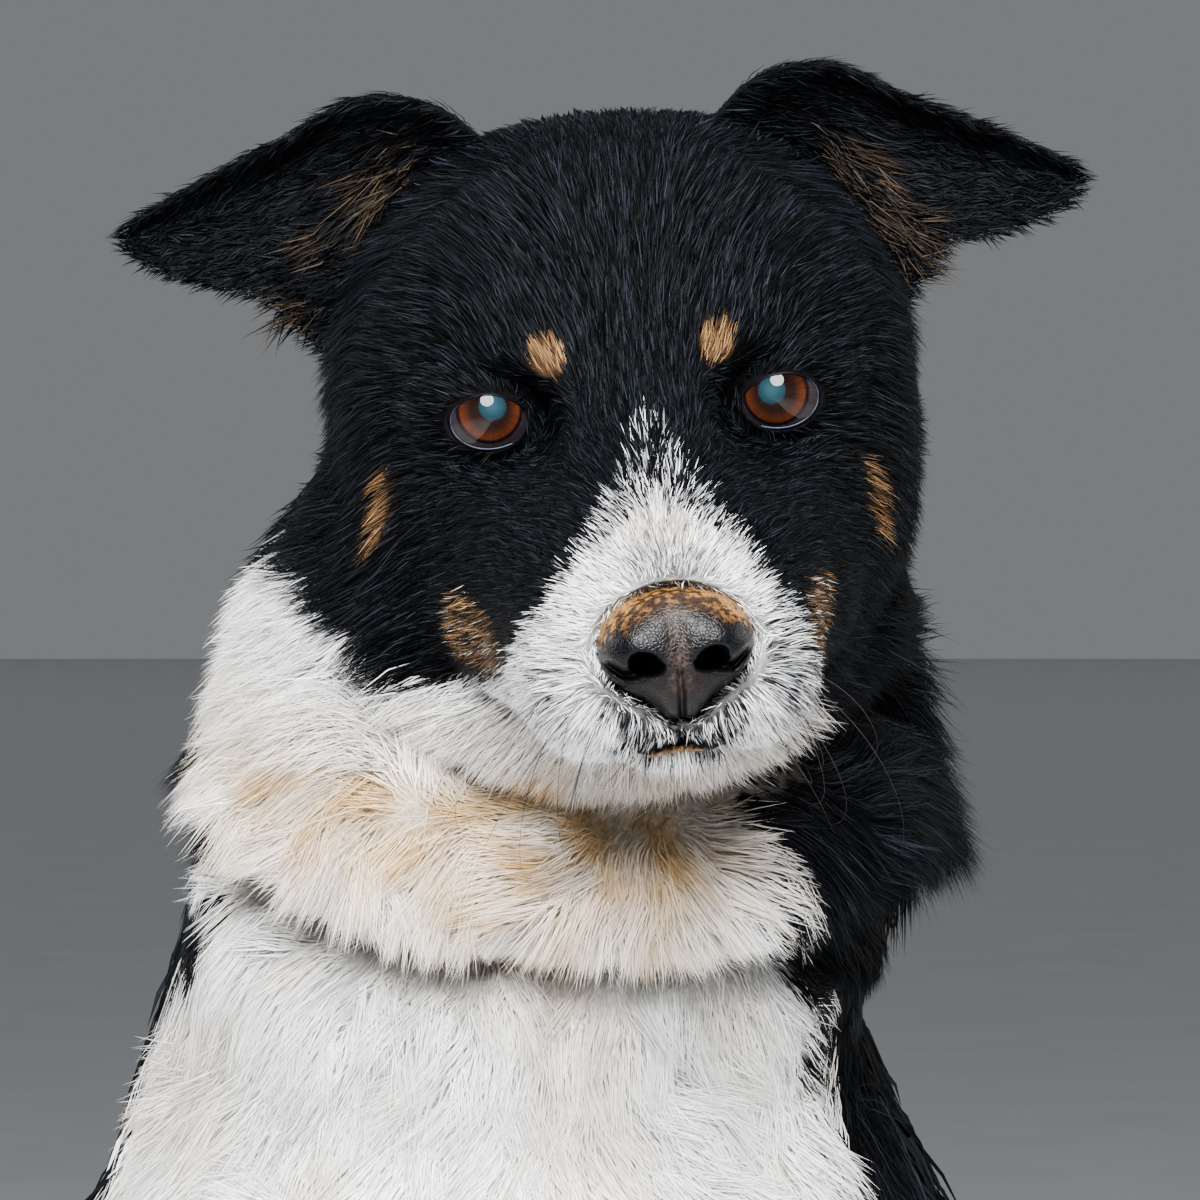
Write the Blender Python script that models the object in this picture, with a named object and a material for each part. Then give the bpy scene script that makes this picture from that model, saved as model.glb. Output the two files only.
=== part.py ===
"""A grown dog of a medium-large shepherd and mountain-dog cross, sitting, at life size.

Metres, +Z up. The dog faces -Y, its left side is +X, and the floor that it sits on is z = 0.
The solids run out to the tips of its coat. The body is modelled whole, as overlapping masses that are
melted into one skin-tight mesh, and then parted by thin cuts into head, neck, trunk, legs and tail.
Eyes, nose leather, ears and claws are solids of their own.
"""

import math

import bmesh
import bpy
import numpy as np
from mathutils import Matrix, Vector

# ---- Driving dimensions ----

GAP = 0.0003  # air between two solids that touch
BODY_VOXEL = 0.004
NOSE_VOXEL = 0.0014
HEAD_SHARE = 0.038  # share of the melted mesh's triangles kept for the head
BODY_SHARE = 0.0067  # and for the rest of the body, which has broader curves
NOSE_SHARE = 0.055  # and for the nose leather
REACH = 0.8  # how far a cutting block runs past the body
FLOOR = 0.0015  # where feet, rump and tail are pressed flat, before the model is set down on z = 0

# Head: its own axes are x to the dog's left, a forward along the muzzle, b up, from midway between the eyes.
EYES = Vector((0.030, -0.170, 0.715))
PITCH, YAW, ROLL = math.radians(17), math.radians(2), math.radians(5.5)
EYE_APART = 0.0343  # from the midline to each eye
EYE_RADIUS = 0.0118
EYE_DEPTH = -0.0100  # the eyeball's centre, forward of the head's origin
HEAD = (  # a, half width, top, widest level, bottom
    (-0.128, 0.040, 0.030, 0.000, -0.025),
    (-0.110, 0.058, 0.047, -0.005, -0.050),
    (-0.085, 0.070, 0.057, -0.012, -0.070),
    (-0.060, 0.075, 0.059, -0.018, -0.080),
    (-0.040, 0.076, 0.059, -0.022, -0.082),
    (-0.024, 0.069, 0.055, -0.025, -0.082),
    (-0.012, 0.058, 0.045, -0.028, -0.080),
    (-0.002, 0.050, 0.030, -0.034, -0.079),
    (0.006, 0.047, 0.016, -0.038, -0.078),
    (0.016, 0.0455, 0.007, -0.041, -0.077),
    (0.028, 0.044, 0.001, -0.042, -0.076),
    (0.042, 0.0415, -0.003, -0.042, -0.075),
    (0.057, 0.0385, -0.006, -0.042, -0.074),
    (0.072, 0.0345, -0.009, -0.041, -0.072),
    (0.085, 0.029, -0.013, -0.039, -0.068),
    (0.094, 0.022, -0.018, -0.037, -0.061),
    (0.100, 0.013, -0.024, -0.035, -0.050),
)
HEAD_SQUARE = 2.3  # how square the head's cross-sections are: 2 is an ellipse
LIP_PAD = ((0.0165, 0.070, -0.044), (0.0210, 0.028, 0.0210))  # centre and radii
CHIN = ((0, 0.071, -0.059), (0.020, 0.019, 0.0125))
BROW = ((0.023, -0.020, 0.014), (0.023, 0.023, 0.020))
CHEEK = ((0.038, -0.055, -0.036), (0.037, 0.060, 0.050))
JAW = ((0.028, -0.016, -0.050), (0.027, 0.064, 0.031))
NOSE_BALL = ((0, 0.0925, -0.0290), (0.0178, 0.0125, 0.0135))
NOSE_WING = ((0.0108, 0.0925, -0.0330), (0.0078, 0.0118, 0.0095))
NOSE_FOOT = ((0, 0.0915, -0.0410), (0.0088, 0.0095, 0.0078))
EYE_OPENING = ((0.0343, 0.009, 0.000), (0.0165, 0.0115, 0.0125))

# Ear: two edges that run from its root on the skull to its tip, (x, a, b) on the dog's left.
EAR_TOP_EDGE = (
    (0.016, -0.056, 0.050),
    (0.034, -0.066, 0.0655),
    (0.054, -0.074, 0.0665),
    (0.075, -0.076, 0.054),
    (0.098, -0.072, 0.0435),
    (0.122, -0.064, 0.030),
)
EAR_LOW_EDGE = (
    (0.060, -0.048, -0.012),
    (0.074, -0.054, 0.002),
    (0.084, -0.061, 0.012),
    (0.092, -0.063, 0.0135),
    (0.106, -0.064, 0.0175),
    (0.121, -0.0635, 0.0265),
)
EAR_LIFT = {"left": 0.0, "right": 0.010}  # how much higher the tip stands
EAR_CUP = 0.030  # depth of the hollow at the root
EAR_THICK = 0.0075

# Trunk, from the shoulders to the rump: y, z, half width, half depth.
TRUNK = (
    (-0.050, 0.465, 0.113, 0.112),
    (0.010, 0.425, 0.121, 0.130),
    (0.075, 0.372, 0.125, 0.136),
    (0.140, 0.308, 0.121, 0.126),
    (0.200, 0.243, 0.113, 0.112),
    (0.255, 0.180, 0.109, 0.105),
    (0.298, 0.122, 0.107, 0.098),
    (0.322, 0.080, 0.096, 0.084),
)
CHEST = ((0, -0.082, 0.472), (0.104, 0.082, 0.112))
NECK = (  # x, y, z, half width, half depth
    (0.000, -0.020, 0.480, 0.115, 0.118),
    (0.000, -0.046, 0.535, 0.106, 0.110),
    (0.001, -0.066, 0.583, 0.090, 0.093),
    (0.013, -0.075, 0.620, 0.100, 0.101),
    (0.019, -0.082, 0.655, 0.094, 0.090),
    (0.026, -0.086, 0.695, 0.080, 0.073),
    (0.029, -0.088, 0.732, 0.060, 0.053),
)
SHOULDER = ((0.074, -0.040, 0.445), (0.056, 0.072, 0.120))
SHOULDER_TILT = math.radians(-32)

# Limbs on the dog's left: x, y, z, half width, half depth.
FORELEG = (
    (0.078, -0.062, 0.400, 0.052, 0.062),
    (0.087, -0.030, 0.325, 0.048, 0.062),
    (0.091, -0.014, 0.268, 0.043, 0.055),
    (0.090, -0.018, 0.200, 0.037, 0.045),
    (0.087, -0.026, 0.135, 0.031, 0.035),
    (0.086, -0.033, 0.092, 0.032, 0.033),
    (0.087, -0.042, 0.052, 0.031, 0.031),
    (0.088, -0.052, 0.022, 0.032, 0.032),
)
FORE_PAW = ((0.090, -0.066, 0.020), (0.038, 0.048, 0.028))
THIGH = ((0.096, 0.182, 0.158), (0.060, 0.138, 0.104))
SHANK = (
    (0.122, 0.088, 0.172, 0.045, 0.054),
    (0.130, 0.132, 0.130, 0.041, 0.054),
    (0.130, 0.188, 0.088, 0.034, 0.043),
    (0.130, 0.240, 0.052, 0.026, 0.031),
)
HIND_FOOT = (
    (0.130, 0.252, 0.040, 0.026, 0.028),
    (0.131, 0.205, 0.028, 0.026, 0.027),
    (0.133, 0.150, 0.024, 0.027, 0.026),
    (0.136, 0.100, 0.021, 0.030, 0.024),
)
HIND_PAW = ((0.138, 0.074, 0.019), (0.036, 0.046, 0.026))
TOE_SPREAD = (-0.0265, -0.0095, 0.0095, 0.0265)
TOE_RADII = (0.0118, 0.022, 0.0175)
TOE_INSET = 0.012  # from the front of the pad mass back to the middle of the inner toes
TOE_ARC = 0.35  # how far a toe sits back for each metre to the side
TOE_CLEAR = 0.0005
CLAW_LENGTH = 0.017
CLAW_RADIUS = 0.0034
CLAW_BEND = 0.95  # radians from root to tip
CLAW_FROM = 0.72  # where it leaves the toe, in shares of the toe's half length

# Cuts: where the body is parted.
HEAD_CUT, HEAD_CUT_TILT = (0, -0.070, -0.045), math.radians(40)
THROAT_LEVEL = -0.084
MUZZLE_BACK, JAW_BACK, MOUTH_LINE = 0.016, 0.010, -0.0545
NECK_CUT, NECK_CUT_TILT = (0, -0.064, 0.590), math.radians(84)
CHEST_CUT, RUMP_CUT = (0, 0.060, 0.385), (0, 0.205, 0.235)
TRUNK_CUT_TILT = math.radians(42)
FORE_CUT, WRIST_CUT = 0.258, 0.072
SHOULDER_CUT = ((0.155, -0.035, 0.395), (0.085, 0.085, 0.160))
HIND_FOOT_CUT = ([0.099, 0, -REACH], [REACH, 0.300, 0.060])
HIND_PAW_BACK = 0.112
THIGH_CUT = ((0.155, 0.177, 0.140), (0.088, 0.172, 0.145))
SHANK_CUT, SHANK_TILT = (0, 0.150, 0.118), math.radians(-24)
TAIL_CUT, TAIL_MIDDLE_CUT, TAIL_TIP_CUT = 0.400, 0.036, 0.125

# Smoothing, in passes, once the masses are melted. Between SOFT_FOOT and SOFT_TOP the trunk gets SOFTENING more.
SMOOTHING_NOSE, SMOOTHING_BODY, SOFTENING = 3, 5, 40
SOFT_TOP, SOFT_FOOT, SOFT_FADE = 0.570, 0.085, 0.050

TAIL = (  # x, y, z, half width, half depth
    (0.000, 0.335, 0.124, 0.050, 0.048),
    (0.000, 0.385, 0.088, 0.049, 0.047),
    (0.012, 0.430, 0.056, 0.052, 0.046),
    (0.048, 0.472, 0.045, 0.057, 0.046),
    (0.100, 0.500, 0.042, 0.057, 0.044),
    (0.155, 0.508, 0.036, 0.048, 0.038),
    (0.205, 0.500, 0.026, 0.028, 0.026),
)

BLACK_COAT = (0.012, 0.013, 0.016)
WHITE_COAT = (0.72, 0.67, 0.58)
TAN_COAT = (0.42, 0.24, 0.11)
NOSE_COLOUR = (0.02, 0.018, 0.018)
EYE_COLOUR = (0.12, 0.035, 0.012)
CLAW_COLOUR = (0.03, 0.026, 0.024)


# ---- Small tools ----


def clear_scene():
    for obj in list(bpy.data.objects):
        bpy.data.objects.remove(obj, do_unlink=True)


def material(name, colour, roughness):
    made = bpy.data.materials.get(name) or bpy.data.materials.new(name)
    made.use_nodes = True
    shader = made.node_tree.nodes["Principled BSDF"]
    shader.inputs["Base Color"].default_value = (*colour, 1)
    shader.inputs["Roughness"].default_value = roughness
    return made


def object_of(bm, name):
    """The bmesh as a helper object, out of the finished model until `finished` names it."""
    bmesh.ops.recalc_face_normals(bm, faces=bm.faces)
    mesh = bpy.data.meshes.new(name)
    bm.to_mesh(mesh)
    bm.free()
    obj = bpy.data.objects.new(name, mesh)
    bpy.context.scene.collection.objects.link(obj)
    return obj


def applied(obj):
    """The object with its modifiers worked into its mesh."""
    bpy.context.view_layer.update()
    graph = bpy.context.evaluated_depsgraph_get()
    mesh = bpy.data.meshes.new_from_object(obj.evaluated_get(graph))
    obj.modifiers.clear()
    obj.data = mesh
    return obj


def copy_of(obj, name):
    made = bpy.data.objects.new(name, obj.data.copy())
    bpy.context.scene.collection.objects.link(made)
    return made


def removed(*objects):
    for obj in objects:
        bpy.data.objects.remove(obj, do_unlink=True)


def boolean(obj, cutter, operation):
    modifier = obj.modifiers.new(operation.lower(), "BOOLEAN")
    modifier.operation = operation
    modifier.object = cutter
    modifier.solver = "EXACT"
    return applied(obj)


def grown(obj, by=GAP):
    """A copy of the object with its surface moved out along its normals."""
    made = copy_of(obj, obj.name + "_grown")
    swell = made.modifiers.new("swell", "DISPLACE")
    swell.strength = by
    swell.mid_level = 0
    return applied(made)


def melted(obj, voxel, smoothing):
    """Overlapping closed masses turned into one skin, and smoothed where they meet."""
    remesh = obj.modifiers.new("melt", "REMESH")
    remesh.mode = "VOXEL"
    remesh.voxel_size = voxel
    smooth = obj.modifiers.new("smooth", "SMOOTH")
    smooth.factor = 0.5
    smooth.iterations = smoothing
    return applied(obj)


def thinned(obj, share):
    thin = obj.modifiers.new("thin", "DECIMATE")
    thin.ratio = share
    return applied(obj)


def finished(obj, name, coat, roughness=0.8):
    obj.name = name
    obj.data.name = name
    obj.data.materials.clear()
    obj.data.materials.append(material(name + "_surface", coat, roughness))
    obj.data.shade_smooth()
    obj.data.set_sharp_from_angle(angle=math.radians(35))


# ---- Shapes ----


def eased(table, at):
    """Reads the table's columns at the places `at`, along Catmull-Rom curves through its rows."""
    rows = np.array(table, float)
    keys, values = rows[:, 0], rows[:, 1:]
    slopes = np.gradient(values, keys, axis=0)
    at = np.atleast_1d(at)
    i = np.clip(np.searchsorted(keys, at) - 1, 0, len(keys) - 2)
    width = keys[i + 1] - keys[i]
    u = ((at - keys[i]) / width)[:, None]
    width = width[:, None]
    return (
        (1 + 2 * u) * (1 - u) ** 2 * values[i]
        + u * (1 - u) ** 2 * width * slopes[i]
        + u**2 * (3 - 2 * u) * values[i + 1]
        + u**2 * (u - 1) * width * slopes[i + 1]
    )


def add_rings(bm, rings):
    """A closed skin through rings of the same number of points, with a fan at each end."""
    rows = [[bm.verts.new(p) for p in ring] for ring in rings]
    count = len(rows[0])
    for low, high in zip(rows, rows[1:]):
        for k in range(count):
            bm.faces.new((low[k], low[(k + 1) % count], high[(k + 1) % count], high[k]))
    for row in (rows[0], rows[-1]):
        middle = bm.verts.new(sum((v.co for v in row), Vector()) / count)
        for k in range(count):
            bm.faces.new((row[k], row[(k + 1) % count], middle))


def add_tube(bm, stations, mirror=1, side=Vector((1, 0, 0)), steps=5, around=28):
    """A limb: ellipses square to a smooth path, with a half round at each end.

    A station is x, y, z, half width along `side` and half depth across it.
    """
    rows = np.array(stations, float)
    rows[:, 0] *= mirror
    table = np.column_stack([np.arange(len(rows)), rows])
    path = eased(table, np.linspace(0, len(rows) - 1, steps * (len(rows) - 1) + 1))
    points = [Vector(p[:3]) for p in path]
    rings = []
    last = len(points) - 1
    for k, (x, y, z, wide, deep) in enumerate(path):
        along = (points[min(k + 1, last)] - points[max(k - 1, 0)]).normalized()
        across = (side - along * side.dot(along)).normalized()
        normal = along.cross(across)
        centre = Vector((x, y, z))
        ends = [(0.0, 1.0)]
        if k == 0:
            ends = [(-math.sin(t), math.cos(t)) for t in (1.45, 1.1, 0.75, 0.4, 0)]
        if k == last:
            ends = [(math.sin(t), math.cos(t)) for t in (0, 0.4, 0.75, 1.1, 1.45)]
        for push, shrink in ends:
            middle = centre + along * push * min(wide, deep)
            rings.append(
                [
                    middle + across * math.cos(a) * wide * shrink + normal * math.sin(a) * deep * shrink
                    for a in np.linspace(0, 2 * math.pi, around, endpoint=False)
                ]
            )
    add_rings(bm, rings)


def add_ball(bm, centre, radii, turn=None, fine=4):
    """An ellipsoid. `turn` is the rotation of its own axes."""
    place = Matrix.Translation(centre) @ (turn.to_4x4() if turn else Matrix())
    place = place @ Matrix.Diagonal((*radii, 1))
    bmesh.ops.create_icosphere(bm, subdivisions=fine, radius=1, matrix=place)


def mirrored(centre, side):
    return Vector((centre[0] * side, centre[1], centre[2]))


def head_turn():
    """The head's axes x, a and b as columns: nose down by PITCH, then crown over by ROLL, then turned by YAW."""
    level = Matrix(
        (
            (1, 0, 0),
            (0, -math.cos(PITCH), -math.sin(PITCH)),
            (0, -math.sin(PITCH), math.cos(PITCH)),
        )
    )
    return Matrix.Rotation(YAW, 3, "Z") @ Matrix.Rotation(-ROLL, 3, "Y") @ level


HEAD_TURN = head_turn()


def on_head(point):
    return EYES + HEAD_TURN @ Vector(point)


def add_head_ball(bm, shape, side=1, fine=4):
    centre, radii = shape
    add_ball(bm, on_head(mirrored(centre, side)), radii, HEAD_TURN, fine)


def add_head(bm):
    """Skull and muzzle: superellipses along the muzzle's line, each widest at its own level."""
    around = np.linspace(0, 2 * math.pi, 48, endpoint=False)
    cosines, sines = np.cos(around), np.sin(around)
    power = 2 / HEAD_SQUARE
    across = np.sign(cosines) * np.abs(cosines) ** power
    upright = np.sign(sines) * np.abs(sines) ** power
    rings = []
    for a in np.linspace(HEAD[0][0], HEAD[-1][0], 60):
        half, top, middle, bottom = eased(HEAD, a)[0]
        height = np.where(upright > 0, top - middle, middle - bottom)
        rings.append([on_head((half * c, a, middle + h * s)) for c, s, h in zip(across, upright, height)])
    add_rings(bm, rings)
    for side in (-1, 1):
        for shape in (LIP_PAD, BROW, CHEEK, JAW):
            add_head_ball(bm, shape, side)
    add_head_ball(bm, CHIN)


def add_paw(bm, shape, side):
    """A foot: its pad mass and four toes side by side, the middle two further forward."""
    centre, radii = shape
    add_ball(bm, mirrored(centre, side), radii)
    for spot, _ in toes(shape, side):
        add_ball(bm, spot, TOE_RADII)


def toes(shape, side):
    """The middle of each toe, and where its claw leaves it."""
    centre, radii = shape
    front = centre[1] - radii[1]
    for offset in TOE_SPREAD:
        back = TOE_INSET + TOE_ARC * abs(offset)
        spot = Vector(((centre[0] + offset) * side, front + back, TOE_RADII[2] + TOE_CLEAR))
        yield spot, spot + Vector((0, -TOE_RADII[1] * CLAW_FROM, 0))


def add_claw(bm, start, toward):
    """A claw: round sections that shrink along a downward arc."""
    ahead = Vector(toward).normalized()
    across = ahead.cross(Vector((0, 0, 1))).normalized()
    rings = []
    for u in np.linspace(0, 1, 3):
        bend = CLAW_BEND * u
        middle = start + ahead * CLAW_LENGTH * (math.sin(bend) / CLAW_BEND)
        middle += Vector((0, 0, -1)) * CLAW_LENGTH * ((1 - math.cos(bend)) / CLAW_BEND)
        size = CLAW_RADIUS * (1 - 0.82 * u**1.4)
        up = Vector((0, 0, 1)) * math.cos(bend) + ahead * math.sin(bend)
        rings.append(
            [
                middle + across * math.cos(t) * size * 0.8 + up * math.sin(t) * size
                for t in np.linspace(0, 2 * math.pi, 5, endpoint=False)
            ]
        )
    add_rings(bm, rings)


def ear_grid(side, rows=10, columns=7):
    """Points of the ear's outer face and of its inner face, from root (0) to tip (1) and edge to edge."""
    lift = EAR_LIFT["left" if side > 0 else "right"]
    places = np.linspace(0, len(EAR_TOP_EDGE) - 1, rows)
    numbered = np.arange(len(EAR_TOP_EDGE))[:, None]
    top = eased(np.hstack([numbered, EAR_TOP_EDGE]), places)
    low = eased(np.hstack([numbered, EAR_LOW_EDGE]), places)
    along = np.linspace(0, 1, rows)[:, None, None]
    t = np.linspace(0, 1, columns)[None, :, None]
    middle = top[:, None] * (1 - t) + low[:, None] * t
    hollow = 4 * t * (1 - t)
    cup = EAR_CUP * hollow**0.8 * (1 - along) ** 0.9 + 0.004 * hollow
    thick = EAR_THICK * (0.35 + 0.65 * hollow**0.5) * (1 - 0.55 * along)
    back = np.array([0.25, -0.95, 0.05])
    raised = np.array([0, 0, lift]) * along**1.5
    inner = middle + back * cup + raised
    outer = inner + back * thick + np.array([0.2, 0, 0.35]) * thick * (1 - t)
    flip = np.array([side, 1, 1])
    return inner * flip, outer * flip


def ear(side):
    """A leaf-shaped ear, hollow towards the front and laid out sideways."""
    bm = bmesh.new()
    inner, outer = ear_grid(side)
    rings = []
    for front, rear in zip(inner, outer):
        rings.append([on_head(p) for p in front] + [on_head(p) for p in rear[::-1]])
    add_rings(bm, rings)
    return object_of(bm, "ear")


def nose():
    """The nose leather: a broad ball with two wings and a narrow foot."""
    bm = bmesh.new()
    add_head_ball(bm, NOSE_BALL)
    add_head_ball(bm, NOSE_FOOT)
    for side in (-1, 1):
        add_head_ball(bm, NOSE_WING, side)
    return thinned(melted(object_of(bm, "nose"), NOSE_VOXEL, SMOOTHING_NOSE), NOSE_SHARE)


def eyeball(centre):
    bm = bmesh.new()
    place = Matrix.Translation(centre) @ HEAD_TURN.to_4x4() @ Matrix.Rotation(math.radians(90), 4, "X")
    bmesh.ops.create_uvsphere(bm, u_segments=16, v_segments=9, radius=EYE_RADIUS, matrix=place)
    return object_of(bm, "eye")


def body():
    """The whole animal but for ears, eyes, nose leather and claws."""
    bm = bmesh.new()
    add_head(bm)
    add_tube(bm, NECK)
    add_tube(bm, [(0, *row) for row in TRUNK], around=40)
    add_ball(bm, Vector(CHEST[0]), CHEST[1])
    add_tube(bm, TAIL, side=Vector((0, 1, 0)))
    for side in (-1, 1):
        add_ball(bm, mirrored(SHOULDER[0], side), SHOULDER[1], Matrix.Rotation(SHOULDER_TILT, 3, "X"))
        add_ball(bm, mirrored(THIGH[0], side), THIGH[1])
        add_tube(bm, FORELEG, side)
        add_tube(bm, SHANK, side)
        add_tube(bm, HIND_FOOT, side)
        add_paw(bm, FORE_PAW, side)
        add_paw(bm, HIND_PAW, side)
    return softened(melted(object_of(bm, "body"), BODY_VOXEL, SMOOTHING_BODY))


def softened(obj):
    """Melts the joints between the trunk's masses further, and leaves head and feet crisp."""
    group = obj.vertex_groups.new(name="soft")
    for vertex in obj.data.vertices:
        x, y, z = vertex.co
        below_head = min(1, max(0, (SOFT_TOP - z) / SOFT_FADE))
        above_feet = min(1, max(0, (z - SOFT_FOOT) / SOFT_FADE))
        group.add([vertex.index], below_head * above_feet, "REPLACE")
    smooth = obj.modifiers.new("soften", "SMOOTH")
    smooth.factor = 0.5
    smooth.iterations = SOFTENING
    smooth.vertex_group = "soft"
    return applied(obj)


# ---- Parting the body ----


def block(low, high, turn=None, origin=Vector()):
    """A box cutter from its low corner to its high one, in axes turned about `origin`."""
    bm = bmesh.new()
    bmesh.ops.create_cube(bm, size=1)
    size = [h - l for l, h in zip(low, high)]
    middle = [(h + l) / 2 for l, h in zip(low, high)]
    bmesh.ops.transform(bm, matrix=Matrix.Translation(middle) @ Matrix.Diagonal((*size, 1)), verts=bm.verts)
    if turn:
        place = Matrix.Translation(origin) @ turn.to_4x4()
        bmesh.ops.transform(bm, matrix=place, verts=bm.verts)
    return object_of(bm, "cutter")


def ball(centre, radii, turn=None, fine=3):
    bm = bmesh.new()
    add_ball(bm, centre, radii, turn, fine)
    return object_of(bm, "cutter")


def parted(whole, name, near, wide):
    """Takes the part of `whole` inside `near` off as its own solid. `wide` is `near` grown by GAP."""
    piece = boolean(copy_of(whole, name), near, "INTERSECT")
    boolean(whole, wide, "DIFFERENCE")
    removed(near, wide)
    return piece


def box_parted(whole, name, low, high, turn=None, origin=Vector()):
    near = block(low, high, turn, origin)
    wide = block([v - GAP for v in low], [v + GAP for v in high], turn, origin)
    return parted(whole, name, near, wide)


def ball_parted(whole, name, centre, radii):
    return parted(whole, name, ball(centre, radii), ball(centre, [r + GAP for r in radii]))


def slope(angle, turn=Matrix.Identity(3)):
    """Axes for a cut across the mirror plane: the second axis leans up from the front by `angle`."""
    ahead, up = Vector((0, -1, 0)), Vector((0, 0, 1))
    if turn != Matrix.Identity(3):
        ahead, up = turn.col[1], turn.col[2]
    normal = ahead * math.cos(angle) + up * math.sin(angle)
    rise = up * math.cos(angle) - ahead * math.sin(angle)
    return Matrix((turn.col[0], normal, rise)).transposed()


def trimmed_at_floor(obj):
    floor = block((-REACH, -REACH, -REACH), (REACH, REACH, FLOOR))
    boolean(obj, floor, "DIFFERENCE")
    removed(floor)
    return obj


def head_cutters():
    """All in front of a slanting plane behind the skull and above the throat, and the same grown by GAP."""
    cutters = []
    for grow in (0, GAP):
        low, high = (-REACH, -grow, -REACH), (REACH, REACH, REACH)
        cutter = block(low, high, slope(HEAD_CUT_TILT, HEAD_TURN), on_head(HEAD_CUT))
        above_throat = block((-REACH, -REACH, THROAT_LEVEL - grow), (REACH, REACH, REACH), HEAD_TURN, EYES)
        cutters.append(boolean(cutter, above_throat, "INTERSECT"))
        removed(above_throat)
    return cutters


def part_head(dense):
    """Head, muzzle, lower jaw, eyes, nose leather and ears."""
    head = parted(dense, "head", *head_cutters())
    removed(dense)
    leather = nose()
    hold = grown(leather)
    boolean(head, hold, "DIFFERENCE")
    removed(hold)
    for side, word in ((1, "left"), (-1, "right")):
        eye_at = on_head(mirrored((EYE_APART, EYE_DEPTH, 0), side))
        opening = ball(on_head(mirrored(EYE_OPENING[0], side)), EYE_OPENING[1], HEAD_TURN)
        socket = ball(eye_at, [EYE_RADIUS + GAP] * 3)
        boolean(head, opening, "DIFFERENCE")
        boolean(head, socket, "DIFFERENCE")
        removed(opening, socket)
        finished(eyeball(eye_at), "eye_" + word, EYE_COLOUR, 0.08)
        swollen = grown(head)
        finished(boolean(ear(side), swollen, "DIFFERENCE"), "ear_" + word, BLACK_COAT)
        removed(swollen)
    low, high = (-REACH, JAW_BACK, -REACH), (REACH, REACH, MOUTH_LINE)
    jaw = box_parted(head, "lower_jaw", low, high, HEAD_TURN, EYES)
    muzzle = box_parted(head, "muzzle", (-REACH, MUZZLE_BACK, -REACH), (REACH, REACH, REACH), HEAD_TURN, EYES)
    finished(head, "head", BLACK_COAT)
    finished(muzzle, "muzzle", WHITE_COAT)
    finished(jaw, "lower_jaw", WHITE_COAT)
    finished(leather, "nose", NOSE_COLOUR, 0.35)


def claws(paw, shape, side, name):
    """Sets four claws into the toes of a foot."""
    for number, (_, start) in enumerate(toes(shape, side), 1):
        bm = bmesh.new()
        add_claw(bm, start, (0, -1, -0.12))
        claw = object_of(bm, "claw")
        hold = grown(claw)
        boolean(paw, hold, "DIFFERENCE")
        removed(hold)
        finished(claw, f"{name}_claw_{number}", CLAW_COLOUR, 0.35)


def part_foreleg(whole, side, word):
    low, high = [0.045, -REACH, -REACH], [REACH, 0.042, FORE_CUT]
    leg = box_parted(whole, "foreleg", *facing(low, high, side))
    paw = box_parted(leg, "forepaw", *facing([0, -REACH, -REACH], [REACH, REACH, WRIST_CUT], side))
    claws(paw, FORE_PAW, side, "fore_" + word)
    finished(leg, "foreleg_" + word, WHITE_COAT)
    finished(paw, "forepaw_" + word, WHITE_COAT)
    shoulder = ball_parted(whole, "shoulder", mirrored(SHOULDER_CUT[0], side), SHOULDER_CUT[1])
    finished(shoulder, "shoulder_" + word, BLACK_COAT)


def part_hind_leg(whole, side, word):
    foot = box_parted(whole, "hind_foot", *facing(*HIND_FOOT_CUT, side))
    paw = box_parted(foot, "hind_paw", *facing([0, -REACH, -REACH], [REACH, HIND_PAW_BACK, REACH], side))
    claws(paw, HIND_PAW, side, "hind_" + word)
    finished(foot, "hind_foot_" + word, TAN_COAT)
    finished(paw, "hind_paw_" + word, WHITE_COAT)
    thigh = ball_parted(whole, "thigh", mirrored(THIGH_CUT[0], side), THIGH_CUT[1])
    turn = Matrix.Rotation(SHANK_TILT, 3, "X")
    low, high = (-REACH, -REACH, -REACH), (REACH, REACH, 0)
    shank = box_parted(thigh, "shank", low, high, turn, Vector(SHANK_CUT))
    finished(thigh, "thigh_" + word, BLACK_COAT)
    finished(shank, "shank_" + word, TAN_COAT)


def facing(low, high, side):
    """The same box on the dog's left (1) or right (-1)."""
    if side > 0:
        return list(low), list(high)
    return [-high[0], *low[1:]], [-low[0], *high[1:]]


def part_trunk(whole):
    """Neck, tail in three lengths, rump, barrel and chest."""
    above = (-REACH, 0, -REACH), (REACH, REACH, REACH)
    removed(parted(whole, "head_again", *head_cutters()))
    neck = box_parted(whole, "neck", *above, slope(NECK_CUT_TILT), Vector(NECK_CUT))
    finished(neck, "neck", WHITE_COAT)
    tail = box_parted(whole, "tail", (-REACH, TAIL_CUT, -REACH), (REACH, REACH, REACH))
    tip = box_parted(tail, "tip", (TAIL_TIP_CUT, -REACH, -REACH), (REACH, REACH, REACH))
    middle = box_parted(tail, "middle", (TAIL_MIDDLE_CUT, -REACH, -REACH), (REACH, REACH, REACH))
    finished(tail, "tail_root", BLACK_COAT)
    finished(middle, "tail_middle", BLACK_COAT)
    finished(tip, "tail_tip", WHITE_COAT)
    chest = box_parted(whole, "chest", *above, slope(TRUNK_CUT_TILT), Vector(CHEST_CUT))
    barrel = box_parted(whole, "barrel", *above, slope(TRUNK_CUT_TILT), Vector(RUMP_CUT))
    finished(chest, "chest", WHITE_COAT)
    finished(barrel, "barrel", BLACK_COAT)
    finished(whole, "rump", BLACK_COAT)


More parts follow.
